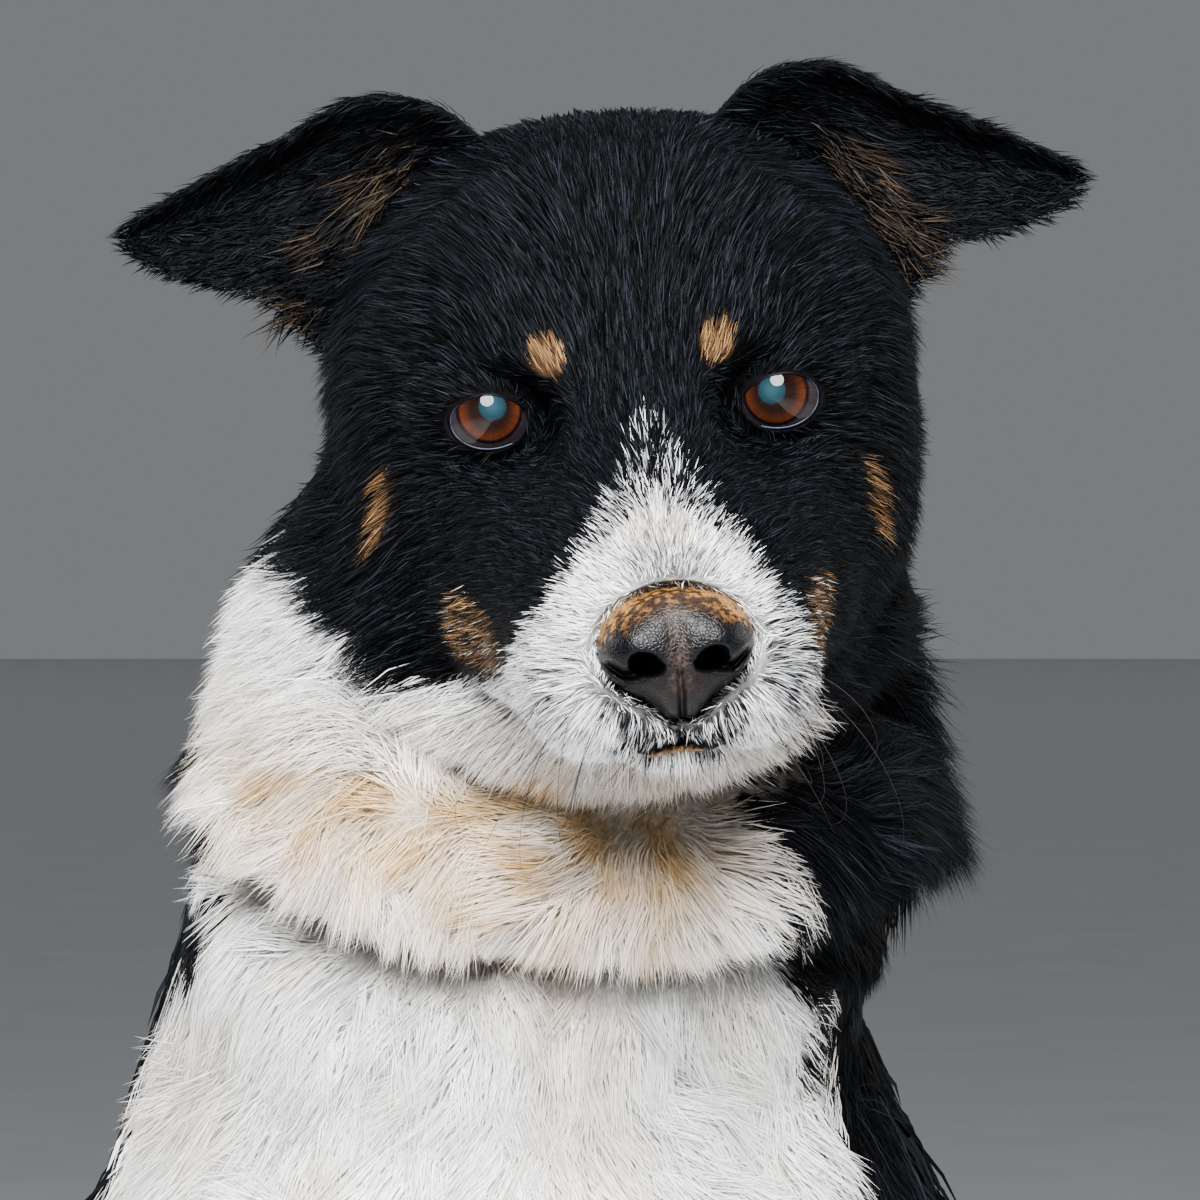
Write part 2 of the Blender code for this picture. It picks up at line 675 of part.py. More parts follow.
def centre_on_floor():
    """Moves every solid so that the whole stands on z = 0, midway in x and y."""
    corners = [obj.matrix_world @ Vector(c) for obj in bpy.data.objects for c in obj.bound_box]
    low = Vector([min(c[i] for c in corners) for i in range(3)])
    high = Vector([max(c[i] for c in corners) for i in range(3)])
    shift = Vector((-(low.x + high.x) / 2, -(low.y + high.y) / 2, -low.z))
    for obj in bpy.data.objects:
        obj.data.transform(Matrix.Translation(shift))


def main():
    clear_scene()
    whole = body()
    dense = thinned(copy_of(whole, "dense"), HEAD_SHARE)
    coarse = trimmed_at_floor(thinned(whole, BODY_SHARE))
    part_head(dense)
    for side, word in ((1, "left"), (-1, "right")):
        part_hind_leg(coarse, side, word)
        part_foreleg(coarse, side, word)
    part_trunk(coarse)
    centre_on_floor()


main()
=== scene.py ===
"""Looks of a sitting black, white and tan dog: one skin under a coat of modelled locks, with eyes, lids,
lips, nose leather, whiskers and claws.

Metres, +Z up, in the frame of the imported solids. The dog faces -Y and its left side is +X.
Places on the head are given in the head's own axes: x to its left, a forward along the muzzle and b up,
from midway between the eyes. Places on the body are given from BODY_ORIGIN, on the floor.
"""

import math

import bmesh
import bpy
import numpy as np
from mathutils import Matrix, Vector


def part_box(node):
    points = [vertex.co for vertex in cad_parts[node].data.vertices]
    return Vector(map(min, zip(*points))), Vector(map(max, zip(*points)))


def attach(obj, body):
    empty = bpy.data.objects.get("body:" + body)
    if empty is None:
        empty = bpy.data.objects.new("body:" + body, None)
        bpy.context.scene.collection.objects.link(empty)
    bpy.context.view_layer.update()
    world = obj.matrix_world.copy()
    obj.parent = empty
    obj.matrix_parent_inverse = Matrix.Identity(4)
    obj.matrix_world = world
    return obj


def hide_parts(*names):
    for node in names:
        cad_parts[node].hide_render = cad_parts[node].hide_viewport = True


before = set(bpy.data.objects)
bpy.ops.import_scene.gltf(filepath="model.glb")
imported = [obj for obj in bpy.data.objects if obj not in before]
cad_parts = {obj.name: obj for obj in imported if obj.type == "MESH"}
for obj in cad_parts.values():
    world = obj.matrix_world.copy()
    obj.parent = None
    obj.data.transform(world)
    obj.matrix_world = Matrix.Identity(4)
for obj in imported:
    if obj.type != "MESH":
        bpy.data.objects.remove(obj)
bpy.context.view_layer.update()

MM = 0.001
EYE_RADIUS = 0.0118
EYE_DEPTH = -0.0100  # the solid eyes' middles, from the head's origin
EYE_CENTRES = {1: (0.0357, -0.0100, -0.0029), -1: (-0.0351, -0.0100, -0.0013)}  # each eyeball's middle, on the head
NOSE_TILT = math.radians(14)  # how far the nose leather faces up from the line of the muzzle
PITCH, YAW, ROLL = math.radians(17), math.radians(2), math.radians(5.5)
HEAD_OVER_ORIGIN = (0.030, -0.170, 0.715)  # the head's origin, from BODY_ORIGIN
CAMERA_FROM_HEAD = (-0.00804, -1.30, -0.0469)  # where the lens stands and the dog looks
VIEW_WIDTH = 0.288  # what the view takes in at the eyes
SKIN_VOXEL = 0.0049  # the grain that the solids are melted at
SWELL = 0.0005  # closes the parting gaps between the solids
SKIN_CLEARANCE, LOCK_CLEARANCE = 0.0006, 0.0007  # how far skin and hair keep off the floor
THICKNESS_OF_COAT = 1.0  # share of the locks that are made


# ---- Plain tools ----


def unit(vectors):
    """Each vector at length 1."""
    return vectors / np.maximum(np.linalg.norm(vectors, axis=-1, keepdims=True), 1e-12)


def ramp(low, high, values):
    """0 below `low`, 1 above `high`, with a smooth cubic rise between."""
    t = np.clip((values - low) / (high - low), 0, 1)
    return t * t * (3 - 2 * t)


def hill(values, width):
    """A bell: 1 at 0, and down to about a third at `width`."""
    return np.exp(-((values / width) ** 2))


def waves(points, size, seed):
    """Smooth noise of about -1 to 1: eight sine waves of lengths around `size` in random directions, summed."""
    dice = np.random.default_rng(seed)
    pace = unit(dice.normal(size=(8, 3))) * (2 * np.pi / size) * dice.uniform(0.6, 1.7, (8, 1))
    return np.sin(points @ pace.T + dice.uniform(0, 2 * np.pi, 8)).sum(1) / 3


def eased(table, at):
    """Reads the table's columns at the places `at`, along Catmull-Rom curves through its rows."""
    rows = np.array(table, float)
    keys, values = rows[:, 0], rows[:, 1:]
    slopes = np.gradient(values, keys, axis=0)
    at = np.clip(at, keys[0], keys[-1])
    i = np.clip(np.searchsorted(keys, at) - 1, 0, len(keys) - 2)
    width = (keys[i + 1] - keys[i])[:, None]
    u = (at - keys[i])[:, None] / width
    return (
        (1 + 2 * u) * (1 - u) ** 2 * values[i]
        + u * (1 - u) ** 2 * width * slopes[i]
        + u**2 * (3 - 2 * u) * values[i + 1]
        + u**2 * (u - 1) * width * slopes[i + 1]
    )


def drift(points, size, seeds):
    """Smooth noise in all three directions, each from its own seed."""
    return np.stack([waves(points, size, seed) for seed in seeds], 1)


def tinted(colours, towards, share):
    """Colours drawn towards another one by each point's share."""
    return colours + (towards - colours) * share[:, None]


def turning(angle, axis):
    """A rotation matrix about X (0), Y (1) or Z (2)."""
    turn = np.eye(3)
    i, j = [(1, 2), (2, 0), (0, 1)][axis]
    turn[i, i] = turn[j, j] = math.cos(angle)
    turn[j, i], turn[i, j] = math.sin(angle), -math.sin(angle)
    return turn


def middle(node):
    """The middle of that solid's box."""
    low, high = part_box(node)
    return np.array((low + high) / 2)


LEVEL = np.array(
    ((1, 0, 0), (0, -math.cos(PITCH), -math.sin(PITCH)), (0, -math.sin(PITCH), math.cos(PITCH)))
)
HEAD_TURN = turning(YAW, 2) @ turning(-ROLL, 1) @ LEVEL
HEAD = (middle("eye_left") + middle("eye_right")) / 2 - HEAD_TURN @ (0, EYE_DEPTH, 0)
BODY_ORIGIN = HEAD - HEAD_OVER_ORIGIN


def on_head(places):
    """Places in the head's axes, in the world's."""
    return HEAD + np.asarray(places, float) @ HEAD_TURN.T


def from_head(points):
    """Points of the world in the head's axes."""
    return (points - HEAD) @ HEAD_TURN


def linear(code):
    """A hex colour of the screen turned to the linear values that light adds up in."""
    screen = np.array([int(code[i : i + 2], 16) for i in (1, 3, 5)]) / 255
    return np.where(screen <= 0.04045, screen / 12.92, ((screen + 0.055) / 1.055) ** 2.4)


# ---- Meshes ----


def linked(name, data):
    """A new object in the scene, at the origin, that shows that data."""
    made = bpy.data.objects.new(name, data)
    bpy.context.scene.collection.objects.link(made)
    return made


def mesh_object(name, points, faces):
    """An object at the origin from an array of points and an array of faces with equal numbers of corners."""
    mesh = bpy.data.meshes.new(name)
    sides = faces.shape[1]
    mesh.vertices.add(len(points))
    mesh.vertices.foreach_set("co", np.ascontiguousarray(points, np.float32).ravel())
    mesh.loops.add(faces.size)
    mesh.loops.foreach_set("vertex_index", np.ascontiguousarray(faces, np.int32).ravel())
    mesh.polygons.add(len(faces))
    mesh.polygons.foreach_set("loop_start", np.arange(0, faces.size, sides, dtype=np.int32))
    mesh.update(calc_edges=True)
    mesh.shade_smooth()
    return linked(name, mesh)


def painted(obj, name, colours):
    """Gives the object's points a colour each, under that name."""
    layer = obj.data.color_attributes.new(name, "FLOAT_COLOR", "POINT")
    rgba = np.ones((len(colours), 4), np.float32)
    rgba[:, :3] = colours
    layer.data.foreach_set("color", rgba.ravel())


def mapped(obj, name, places):
    """Gives the object a UV map of that name from one place for each point."""
    corners = np.empty(len(obj.data.loops), np.int32)
    obj.data.loops.foreach_get("vertex_index", corners)
    layer = obj.data.uv_layers.new(name=name)
    layer.data.foreach_set("uv", np.ascontiguousarray(places[corners], np.float32).ravel())


def piece(obj, slot, material, *nodes):
    """A finished piece: it rides on the one body and stands for those solids; `slot` is not used."""
    obj.data.materials.append(material)
    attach(obj, "root")
    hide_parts(*nodes)


def outward(points, faces):
    """The triangles turned so that the closed shape's volume is positive."""
    a, b, c = (points[faces[:, k]] for k in range(3))
    return faces if np.einsum("ij,ij->i", a, np.cross(b, c)).sum() > 0 else faces[:, ::-1]


def closed_grid(grid):
    """Points and triangles of a grid (rows, columns, 3) closed round its columns, each end fanned to a pole."""
    rows, columns, _ = grid.shape
    points = np.vstack([grid.reshape(-1, 3), grid[0].mean(0), grid[-1].mean(0)])
    c = np.arange(columns)
    n = (c + 1) % columns
    start = (np.arange(rows - 1) * columns)[:, None]
    a, b = start + c, start + n
    quads = [np.stack([a, b, b + columns], -1), np.stack([a, b + columns, a + columns], -1)]
    last = (rows - 1) * columns
    pole = c * 0 + rows * columns
    ends = [np.stack([n, c, pole], -1), np.stack([last + c, last + n, pole + 1], -1)]
    faces = np.vstack([q.reshape(-1, 3) for q in quads] + ends)
    return points, outward(points, faces)


def ringed_grid(grid):
    """Points and triangles of a grid (rows, columns, 3) closed both ways, as a bent ring is."""
    rows, columns, _ = grid.shape
    r, c = np.meshgrid(np.arange(rows), np.arange(columns), indexing="ij")
    up, on = (r + 1) % rows, (c + 1) % columns
    a, b, d, e = r * columns + c, r * columns + on, up * columns + on, up * columns + c
    faces = np.vstack([np.stack([a, b, d], -1).reshape(-1, 3), np.stack([a, d, e], -1).reshape(-1, 3)])
    points = grid.reshape(-1, 3)
    return points, outward(points, faces)


def joined(parts):
    """Several (points, faces) as one."""
    counts = np.cumsum([0] + [len(points) for points, _ in parts])
    points = np.vstack([points for points, _ in parts])
    return points, np.vstack([faces + count for (_, faces), count in zip(parts, counts)])


def swept(path, radii, sides=8, flat=1.0):
    """A profile carried along a path: rings square to it, round or flattened, closed by a pole at each end."""
    path = np.asarray(path, float)
    ahead = unit(np.gradient(path, axis=0))
    side = unit(np.cross(ahead, (0.13, 0.21, 0.97)))
    top = np.cross(side, ahead)
    t = np.linspace(0, 2 * np.pi, sides, endpoint=False)
    radii = np.asarray(radii, float)[:, None, None]
    grid = path[:, None] + radii * (
        side[:, None] * np.cos(t)[None, :, None] + top[:, None] * flat * np.sin(t)[None, :, None]
    )
    return closed_grid(grid)


# ---- Materials ----


def add_node(tree, kind, inputs=None, **settings):
    """Adds a node with its settings. Each input is a plain value or the socket that it is linked from."""
    made = tree.nodes.new(kind)
    for key, value in settings.items():
        setattr(made, key, value)
    for key, value in (inputs or {}).items():
        if isinstance(value, bpy.types.NodeSocket):
            tree.links.new(value, made.inputs[key])
        else:
            made.inputs[key].default_value = value
    return made


def blank_material(name, finish):
    """A new material, its tree and its shader, with the finish set on the shader's own sockets."""
    made = bpy.data.materials.new(name)
    made.use_nodes = True
    shader = made.node_tree.nodes["Principled BSDF"]
    for key, value in finish.items():
        shader.inputs[key].default_value = value
    return made, made.node_tree, shader


def varied(tree, colour, scale, low, high, detail=2.0, place=None):
    """The colour times a noise between `low` and `high`, with patches `scale` metres across, or units of `place`."""
    place = place or add_node(tree, "ShaderNodeTexCoord").outputs["Object"]
    noise = add_node(tree, "ShaderNodeTexNoise", {"Vector": place, "Scale": 1 / scale, "Detail": detail})
    span = {"From Min": 0.3, "From Max": 0.7, "To Min": low, "To Max": high}
    tone = add_node(tree, "ShaderNodeMapRange", {"Value": noise.outputs["Fac"], **span})
    return add_node(
        tree, "ShaderNodeVectorMath", {0: colour, 1: tone.outputs["Result"]}, operation="MULTIPLY"
    ).outputs["Vector"]


def hair_material():
    """Guard hair: keratin, smooth-scaled and lightly oiled, so it shines softly along its length."""
    finish = {"Roughness": 0.42, "IOR": 1.55, "Specular IOR Level": 0.03}
    made, tree, shader = blank_material("guard_hair", finish)
    colour = add_node(tree, "ShaderNodeAttribute", attribute_name="marking").outputs["Color"]
    tree.links.new(varied(tree, colour, 3 * MM, 0.86, 1.14), shader.inputs["Base Color"])
    return made


def skin_material():
    """Furred hide: the undercoat close on the skin, matt and finely streaked at about a millimetre."""
    made, tree, shader = blank_material("furred_hide", {"Roughness": 0.75, "Specular IOR Level": 0.03})
    colour = add_node(tree, "ShaderNodeAttribute", attribute_name="marking").outputs["Color"]
    tree.links.new(varied(tree, colour, 1.2 * MM, 0.55, 1.05), shader.inputs["Base Color"])
    place = add_node(tree, "ShaderNodeTexCoord").outputs["Object"]
    grain = add_node(tree, "ShaderNodeTexNoise", {"Vector": place, "Scale": 1 / (1.5 * MM), "Detail": 3.0})
    bump = add_node(tree, "ShaderNodeBump", {"Height": grain.outputs["Fac"], "Distance": 0.8 * MM, "Strength": 0.6})
    tree.links.new(bump.outputs["Normal"], shader.inputs["Normal"])
    return made


def nose_material():
    """Nose leather: bare moist skin set with pebbles about 0.9 mm across, paler in the furrows between them."""
    made, tree, shader = blank_material("nose_leather", {"Roughness": 0.30, "Specular IOR Level": 0.11})
    colour = add_node(tree, "ShaderNodeAttribute", attribute_name="marking").outputs["Color"]
    place = add_node(tree, "ShaderNodeTexCoord").outputs["Object"]
    cells = add_node(
        tree, "ShaderNodeTexVoronoi", {"Vector": place, "Scale": 1 / (0.9 * MM)}, feature="DISTANCE_TO_EDGE"
    )
    edge = add_node(tree, "ShaderNodeMapRange", {"Value": cells.outputs["Distance"], "From Max": 0.20})
    furrow = add_node(tree, "ShaderNodeMapRange", {"Value": edge.outputs["Result"], "To Min": 1.7, "To Max": 0.60})
    netted = add_node(
        tree, "ShaderNodeVectorMath", {0: colour, 1: furrow.outputs["Result"]}, operation="MULTIPLY"
    ).outputs["Vector"]
    tree.links.new(varied(tree, netted, 2 * MM, 0.8, 1.2), shader.inputs["Base Color"])
    relief = {"Height": edge.outputs["Result"], "Distance": 0.08 * MM, "Strength": 0.6}
    bump = add_node(tree, "ShaderNodeBump", relief)
    tree.links.new(bump.outputs["Normal"], shader.inputs["Normal"])
    return made


def lip_material():
    """Lip leather: thin black skin, wet at its edge, so it takes small bright lights."""
    made, tree, shader = blank_material("wet_black_skin", {"Roughness": 0.42})
    colour = add_node(tree, "ShaderNodeAttribute", attribute_name="marking").outputs["Color"]
    tree.links.new(varied(tree, colour, 1.5 * MM, 0.7, 1.3), shader.inputs["Base Color"])
    place = add_node(tree, "ShaderNodeTexCoord").outputs["Object"]
    grain = add_node(tree, "ShaderNodeTexNoise", {"Vector": place, "Scale": 1 / (0.8 * MM), "Detail": 2.0})
    bump = add_node(tree, "ShaderNodeBump", {"Height": grain.outputs["Fac"], "Distance": 0.2 * MM, "Strength": 0.5})
    tree.links.new(bump.outputs["Normal"], shader.inputs["Normal"])
    return made


def eye_material():
    """A dog's eye: brown iris, with fibres that run in from its rim, behind a wet cornea that mirrors like glass."""
    cornea = {"Coat Weight": 0.55, "Coat Roughness": 0.01, "Coat IOR": 1.40}
    made, tree, shader = blank_material("wet_eye", {"Roughness": 0.6, "Specular IOR Level": 0.0, **cornea})
    colour = add_node(tree, "ShaderNodeAttribute", attribute_name="marking").outputs["Color"]
    ring = add_node(tree, "ShaderNodeUVMap", uv_map="iris").outputs["UV"]
    stretched = add_node(
        tree, "ShaderNodeVectorMath", {0: ring, 1: (1.2, 46.0, 1.0)}, operation="MULTIPLY"
    ).outputs["Vector"]
    tree.links.new(varied(tree, colour, 0.5, 0.72, 1.28, 3.0, stretched), shader.inputs["Base Color"])
    return made


def claw_material():
    """Claw horn: grown in layers along its length, so it is streaked, dark and dully polished."""
    made, tree, shader = blank_material("claw_horn", {"Roughness": 0.36})
    base = add_node(tree, "ShaderNodeRGB")
    base.outputs[0].default_value = (*linear("#3A332D"), 1)
    tree.links.new(varied(tree, base.outputs[0], 1.2 * MM, 0.5, 1.6, 4.0), shader.inputs["Base Color"])
    return made


def floor_material():
    """Studio floor: smooth matt paint, pale grey, with a barely seen mottle."""
    made, tree, shader = blank_material("pale_studio_floor", {"Roughness": 0.6})
    base = add_node(tree, "ShaderNodeRGB")
    base.outputs[0].default_value = (*linear("#D6D8DA"), 1)
    tree.links.new(varied(tree, base.outputs[0], 0.25, 0.97, 1.03), shader.inputs["Base Color"])
    return made


# ---- Markings ----

WHITE, CREAM, TAN = linear("#F1F1F0"), linear("#BF9A66"), linear("#674A31")
BLACK, GREY, LIP = linear("#040507"), linear("#464A51"), linear("#0C0B0E")

BLAZE = (  # a in mm, then the left and right edges of the sparse white line and half the width of the full white
    (0, 4.0, 4.0, -12),
    (8, 3.0, 4.6, -9),
    (14, 1.8, 5.4, -9),
    (24, -2.6, 8.0, -8),
    (42, -8.5, 11.0, -5.0),
    (50, -11.0, 13.0, -2.5),
    (58, -13.5, 15.5, 2.4),
    (64, -17.0, 19.0, 7.0),
    (70, -24.0, 25.0, 14.0),
    (76, -34.0, 34.0, 27.0),
)
MUZZLE_EDGE = (  # b in mm, then how far back the white reaches on the dog's right side and on its left
    (-70, 9, 22),
    (-60, 23, 37),
    (-54, 36, 58),
    (-46, 51, 70),
    (-38, 65.5, 76),
    (-28, 73, 79),
    (-20, 75, 78),
    (-12, 69, 71),
    (0, 66, 68),
)
JAW_EDGE = (  # a in mm, then the height under which the right side of the head and jaw is white, and the left side
    (-90, -44, -120),
    (-59, -48, -118),
    (-32, -50, -108),
    (-14, -57, -96),
    (1, -66, -84),
    (12, -63, -74),
    (25, -58, -66),
    (40, -56, -60),
)
BIB = (  # height in m, then the right edge and left edge of the white on the front, in m from BODY_ORIGIN's middle
    (0.200, -0.035, 0.035),
    (0.280, -0.055, 0.045),
    (0.350, -0.080, 0.060),
    (0.420, -0.105, 0.070),
    (0.480, -0.128, 0.077),
    (0.515, -0.137, 0.083),
    (0.537, -0.128, 0.087),
    (0.553, -0.108, 0.083),
    (0.568, -0.090, 0.077),
    (0.578, -0.078, 0.066),
    (0.592, -0.078, 0.068),
    (0.600, -0.120, 0.068),
    (0.619, -0.160, 0.061),
    (0.632, -0.160, 0.066),
    (0.645, -0.160, 0.068),
    (0.666, -0.160, 0.060),
    (0.676, -0.074, 0.056),
    (0.688, -0.030, 0.050),
    (0.700, 0.000, 0.030),
    (0.712, 0.060, -0.020),
)
CREASE = (  # x, then the height of the crease where the collar of long hair ends, in m from BODY_ORIGIN
    (-0.140, 0.665),
    (-0.098, 0.655),
    (-0.085, 0.640),
    (-0.075, 0.621),
    (-0.062, 0.602),
    (-0.047, 0.591),
    (-0.027, 0.5855),
    (0.012, 0.5810),
    (0.046, 0.5805),
    (0.069, 0.5835),
    (0.090, 0.592),
    (0.140, 0.610),
)


def crease_height(p):
    """How far each point, from BODY_ORIGIN, is above the crease, and how much the crease shows there."""
    return p[:, 2] - eased(CREASE, p[:, 0])[:, 0], ramp(-0.048, -0.092, p[:, 1])


def spot(q, centre, size):
    """An egg-shaped patch in the head's axes: 1 at its middle, 0.5 at its edge."""
    far = np.linalg.norm((q - np.array(centre)) / np.array(size), axis=1)
    return 1 - ramp(0.62, 1.38, far)


NECK_LEAN = math.radians(40)  # of the plane where the neck begins
NECK_POINT = (-0.070, -0.045)  # a and b of a point on it
THROAT_FLOOR = -0.084  # the head ends above this b


def in_head(q):
    """How far each point, in the head's axes, is in front of the slanting line from crown to throat."""
    plane = (q[:, 1] - NECK_POINT[0]) * math.cos(NECK_LEAN) + (q[:, 2] - NECK_POINT[1]) * math.sin(NECK_LEAN)
    return np.minimum(plane, q[:, 2] - THROAT_FLOOR)


JAW_LINE = (  # x in mm, then how far in front of the neck's plane, in mm, the jaw's lower edge lies on the right side
    (-76, 30),
    (-66, 22),
    (-61, 15),
    (-56, 11),
    (-46, 6),
    (-37, 3),
    (-24, 0),
    (60, 0),
)
THROAT_FOLD = 0.010


def jaw_front(q):
    """How far each point, in the head's axes, is in front of the jaw's lower edge, in metres."""
    return in_head(q) - eased(JAW_LINE, q[:, 0] / MM)[:, 0] * MM


def under_jaw(q):
    """From 0 to 1, how far a point is in the fold under the jaw: a bell centred 8 mm behind the jaw's edge."""
    fold = hill(jaw_front(q) + 0.008, 0.009) * ramp(-0.070, -0.040, q[:, 1]) * ramp(-0.050, -0.064, q[:, 2])
    return fold * ramp(-0.078, -0.066, q[:, 0])


def throat_depth(q):
    """How deep the throat is drawn in behind the edge of the jaw, so that the jaw's hair hangs clear of it."""
    return THROAT_FOLD * under_jaw(q)


def head_shares(points, q):
    """White, tan and grey shares on the head: blaze and muzzle, brows, cheeks, lips and jaw.

    Each mark is a product of soft steps across the edges that the tables give, or an egg-shaped spot. The
    points are first shifted by smooth noise, so that edges are ragged, and each share is its marks' largest.
    """
    x, a, b = (q / MM + drift(points, 0.010, (1, 2, 3)) * 1.2).T
    side = np.abs(x)
    line = eased(BLAZE, a)
    sparse = ramp(-3.0, 3.0, np.minimum(x - line[:, 0], line[:, 1] - x)) * ramp(2, 14, a) * ramp(12, 5, b)
    full = ramp(-7.0, 3.5, line[:, 2] - side)
    above = ramp(-22, -12, b)
    reach = eased(MUZZLE_EDGE, b)
    reach = np.where(x < 0, reach[:, 0], reach[:, 1])
    muzzle = ramp(-9, 4, a - reach - 1.5) * ramp(-4, -12, b)
    edge = eased(JAW_EDGE, a)
    jaw = ramp(3, -3, b - np.where(x < -12, edge[:, 0], np.where(x < 12, -60, edge[:, 1])))
    thin = sparse * np.interp(a, (14, 30, 42, 54), (0.15, 0.20, 0.29, 0.46))
    white = np.maximum.reduce([full * above, muzzle, jaw, thin * above])
    off = b - mouth_line(x * MM, a * MM) / MM
    lip = ramp(-3.5, 2.5, np.interp(b, (-60, -55, -43, -36), (13.0, 14.5, 17.0, 18.5)) - side)
    lip = lip * ramp(-34, -40, b) * ramp(-2.0, 1.0, off) * ramp(78, 84, a)
    chin = ramp(-10, -4, off) * ramp(1.5, -0.5, off) * ramp(20, 10, side) * ramp(72, 80, a)
    flank = ramp(16, 28, side) * ramp(-8, -20, b) * ramp(-66, -54, b) * ramp(20, 34, a) * np.where(x > 0, 1.0, 0.4)
    white = white * (1 - 0.52 * lip) * (1 - 0.75 * chin) * (1 - 0.34 * flank)
    flip = q * (-1, 1, 1)
    tan = spot(q, (0.0213, 0.002, 0.0150), (0.0042, 0.020, 0.0044))
    tan = np.maximum(tan, spot(flip, (0.0201, 0.002, 0.0152), (0.0044, 0.020, 0.0046)))
    tan = np.maximum(tan, spot(q, (0.0575, -0.0095, -0.0325), (0.0120, 0.0022, 0.0110)))
    tan = np.maximum(tan, spot(flip, (0.0622, -0.0170, -0.0265), (0.0120, 0.0024, 0.0110)))
    lips = np.maximum(
        spot(q, (0.0360, 0.0550, -0.0385), (0.0140, 0.0250, 0.0086)),
        spot(flip, (0.0430, 0.0290, -0.0440), (0.0140, 0.0260, 0.0084)),
    )
    tan = np.maximum(tan, 0.50 * lips)
    white = np.maximum(white, 0.16 * lips)
    pepper = ramp(18, 0, a - reach) * (1 - jaw) * 0.5
    top = spot(q, (0.001, 0.084, -0.012), (0.012, 0.012, 0.010)) * 0.85
    grey = [pepper, top, 0.6 * lip, 0.9 * chin, 0.85 * sparse * (1 - full), 0.8 * flank]
    grey = np.maximum(np.maximum.reduce(grey), 0.12)
    return white, tan, grey


def body_shares(points):
    """White, tan and cream shares on the body, with ragged edges.

    The bib is a soft step across its table's edges, fore and hind legs and tail are cut by straight lines, and
    cream is a sum of bells on the ruff and of smooth noise.
    """
    p = points - BODY_ORIGIN
    over, _ = crease_height(p)
    p = p + drift(points, 0.030, (11, 12, 13)) * 4 * MM
    x, y, z = p.T
    edges = eased(BIB, z)
    across = np.minimum(x - edges[:, 0], edges[:, 1] - x)
    back = np.where(x < 0, -0.028 - 0.35 * np.maximum(x + 0.09, 0), -0.06)
    ruff = ramp(0.010, -0.010, y - back)
    chest = ramp(0.02, -0.02, y - 0.20 - 0.04 * (x < 0) * ramp(0.40, 0.52, z) + 0.55 * z)
    front = np.where(over > 0, ruff, chest)
    bib = ramp(-0.005, 0.005, across) * front
    side = np.abs(x)
    foreleg = np.hypot(side - 0.092, y + 0.055 - 0.12 * z) < np.where(z < 0.07, 0.085, 0.060)
    foreleg &= (y < 0.052) & (side > 0.03) & (z < 0.34)
    tail = (y > 0.38) & (z < 0.14)
    hind = (side > 0.088) & (z < 0.16) & ~foreleg & ~tail
    white = bib * (z > 0.20)
    white = np.where(foreleg, np.maximum(ramp(0.235, 0.205, z), white * (z > 0.29)), white)
    white = np.where(hind, ramp(0.105, 0.080, y) * ramp(0.10, 0.06, z), white)
    white = np.where(tail, ramp(0.145, 0.165, x), white)
    tan = np.where(foreleg, ramp(0.200, 0.225, z) * ramp(0.300, 0.262, z), 0)
    tan = np.where(hind, ramp(0.075, 0.095, y) * ramp(0.100, 0.070, z), tan)
    tan = np.maximum(tan, ramp(0.27, 0.31, y) * ramp(0.15, 0.10, z) * ramp(0.085, 0.05, side) * (y < 0.37))
    warm = hill(x + 0.008, 0.050) * hill(z - 0.616, 0.028) + 0.35 * hill(x - 0.045, 0.030) * hill(z - 0.598, 0.018)
    warm = warm + 0.8 * hill(x + 0.044, 0.026) * hill(z - 0.636, 0.026)
    cream = np.clip(warm, 0, 1) * ramp(-0.08, -0.12, y) * (0.80 + 0.28 * waves(points, 0.022, 22))
    cream = cream + 0.20 * ramp(-0.1, 0.8, waves(points, 0.06, 21)) + 0.16 * ramp(0.1, 0.8, waves(points, 0.020, 24))
    return white, tan, np.clip(cream, 0, 1)


def shares(points):
    """White, tan, cream and grey shares at each point, from 0 to 1: the head's eased into the body's over 8 mm."""
    q = from_head(points)
    on = ramp(-0.004, 0.004, in_head(q))
    head_white, head_tan, grey = head_shares(points, q)
    body_white, body_tan, cream = body_shares(points)
    white = head_white * on + body_white * (1 - on)
    tan = head_tan * on + body_tan * (1 - on)
    jaw_cream = 0.25 * ramp(-0.062, -0.074, q[:, 2]) + 0.30 * spot(q, (0, 0.072, 0), (0.010, 0.016, 0.030))
    return white, tan, cream * (1 - on) + jaw_cream * on, grey * on


def blended(points, dice=None):
    """The markings' colour at each point. With `dice`, each lock is one pure colour, drawn by the shares."""
    white, tan, cream, grey = shares(points)
    dark, warm = BLACK * np.ones((len(points), 1)), TAN * np.ones((len(points), 1))
    if dice is not None:
        white = (white > dice.uniform(0.06, 0.94, len(points))).astype(float)
        tan = (tan > dice.uniform(0.15, 0.85, len(points))).astype(float)
        grey = (grey > dice.uniform(0, 1, len(points))).astype(float) * dice.uniform(0.3, 1.0, len(points))
        cream = np.clip(cream * dice.uniform(0.8, 1.2, len(points)), 0, 1)
        # Black locks differ in tone at random, and the rare much paler, bluish ones are painted glints.
        dark = dark * (0.35 + 11 * dice.uniform(0, 1, (len(points), 1)) ** 5)
        warm = warm * dice.uniform(0.10, 1.20, (len(points), 1))
        warm = warm + (CREAM - warm) * dice.uniform(0, 0.80, (len(points), 1)) ** 3
    pale = tinted(tinted(WHITE, CREAM, cream), GREY, grey)
    return tinted(tinted(dark, pale, white), warm, tan)


# ---- The lie of the coat ----

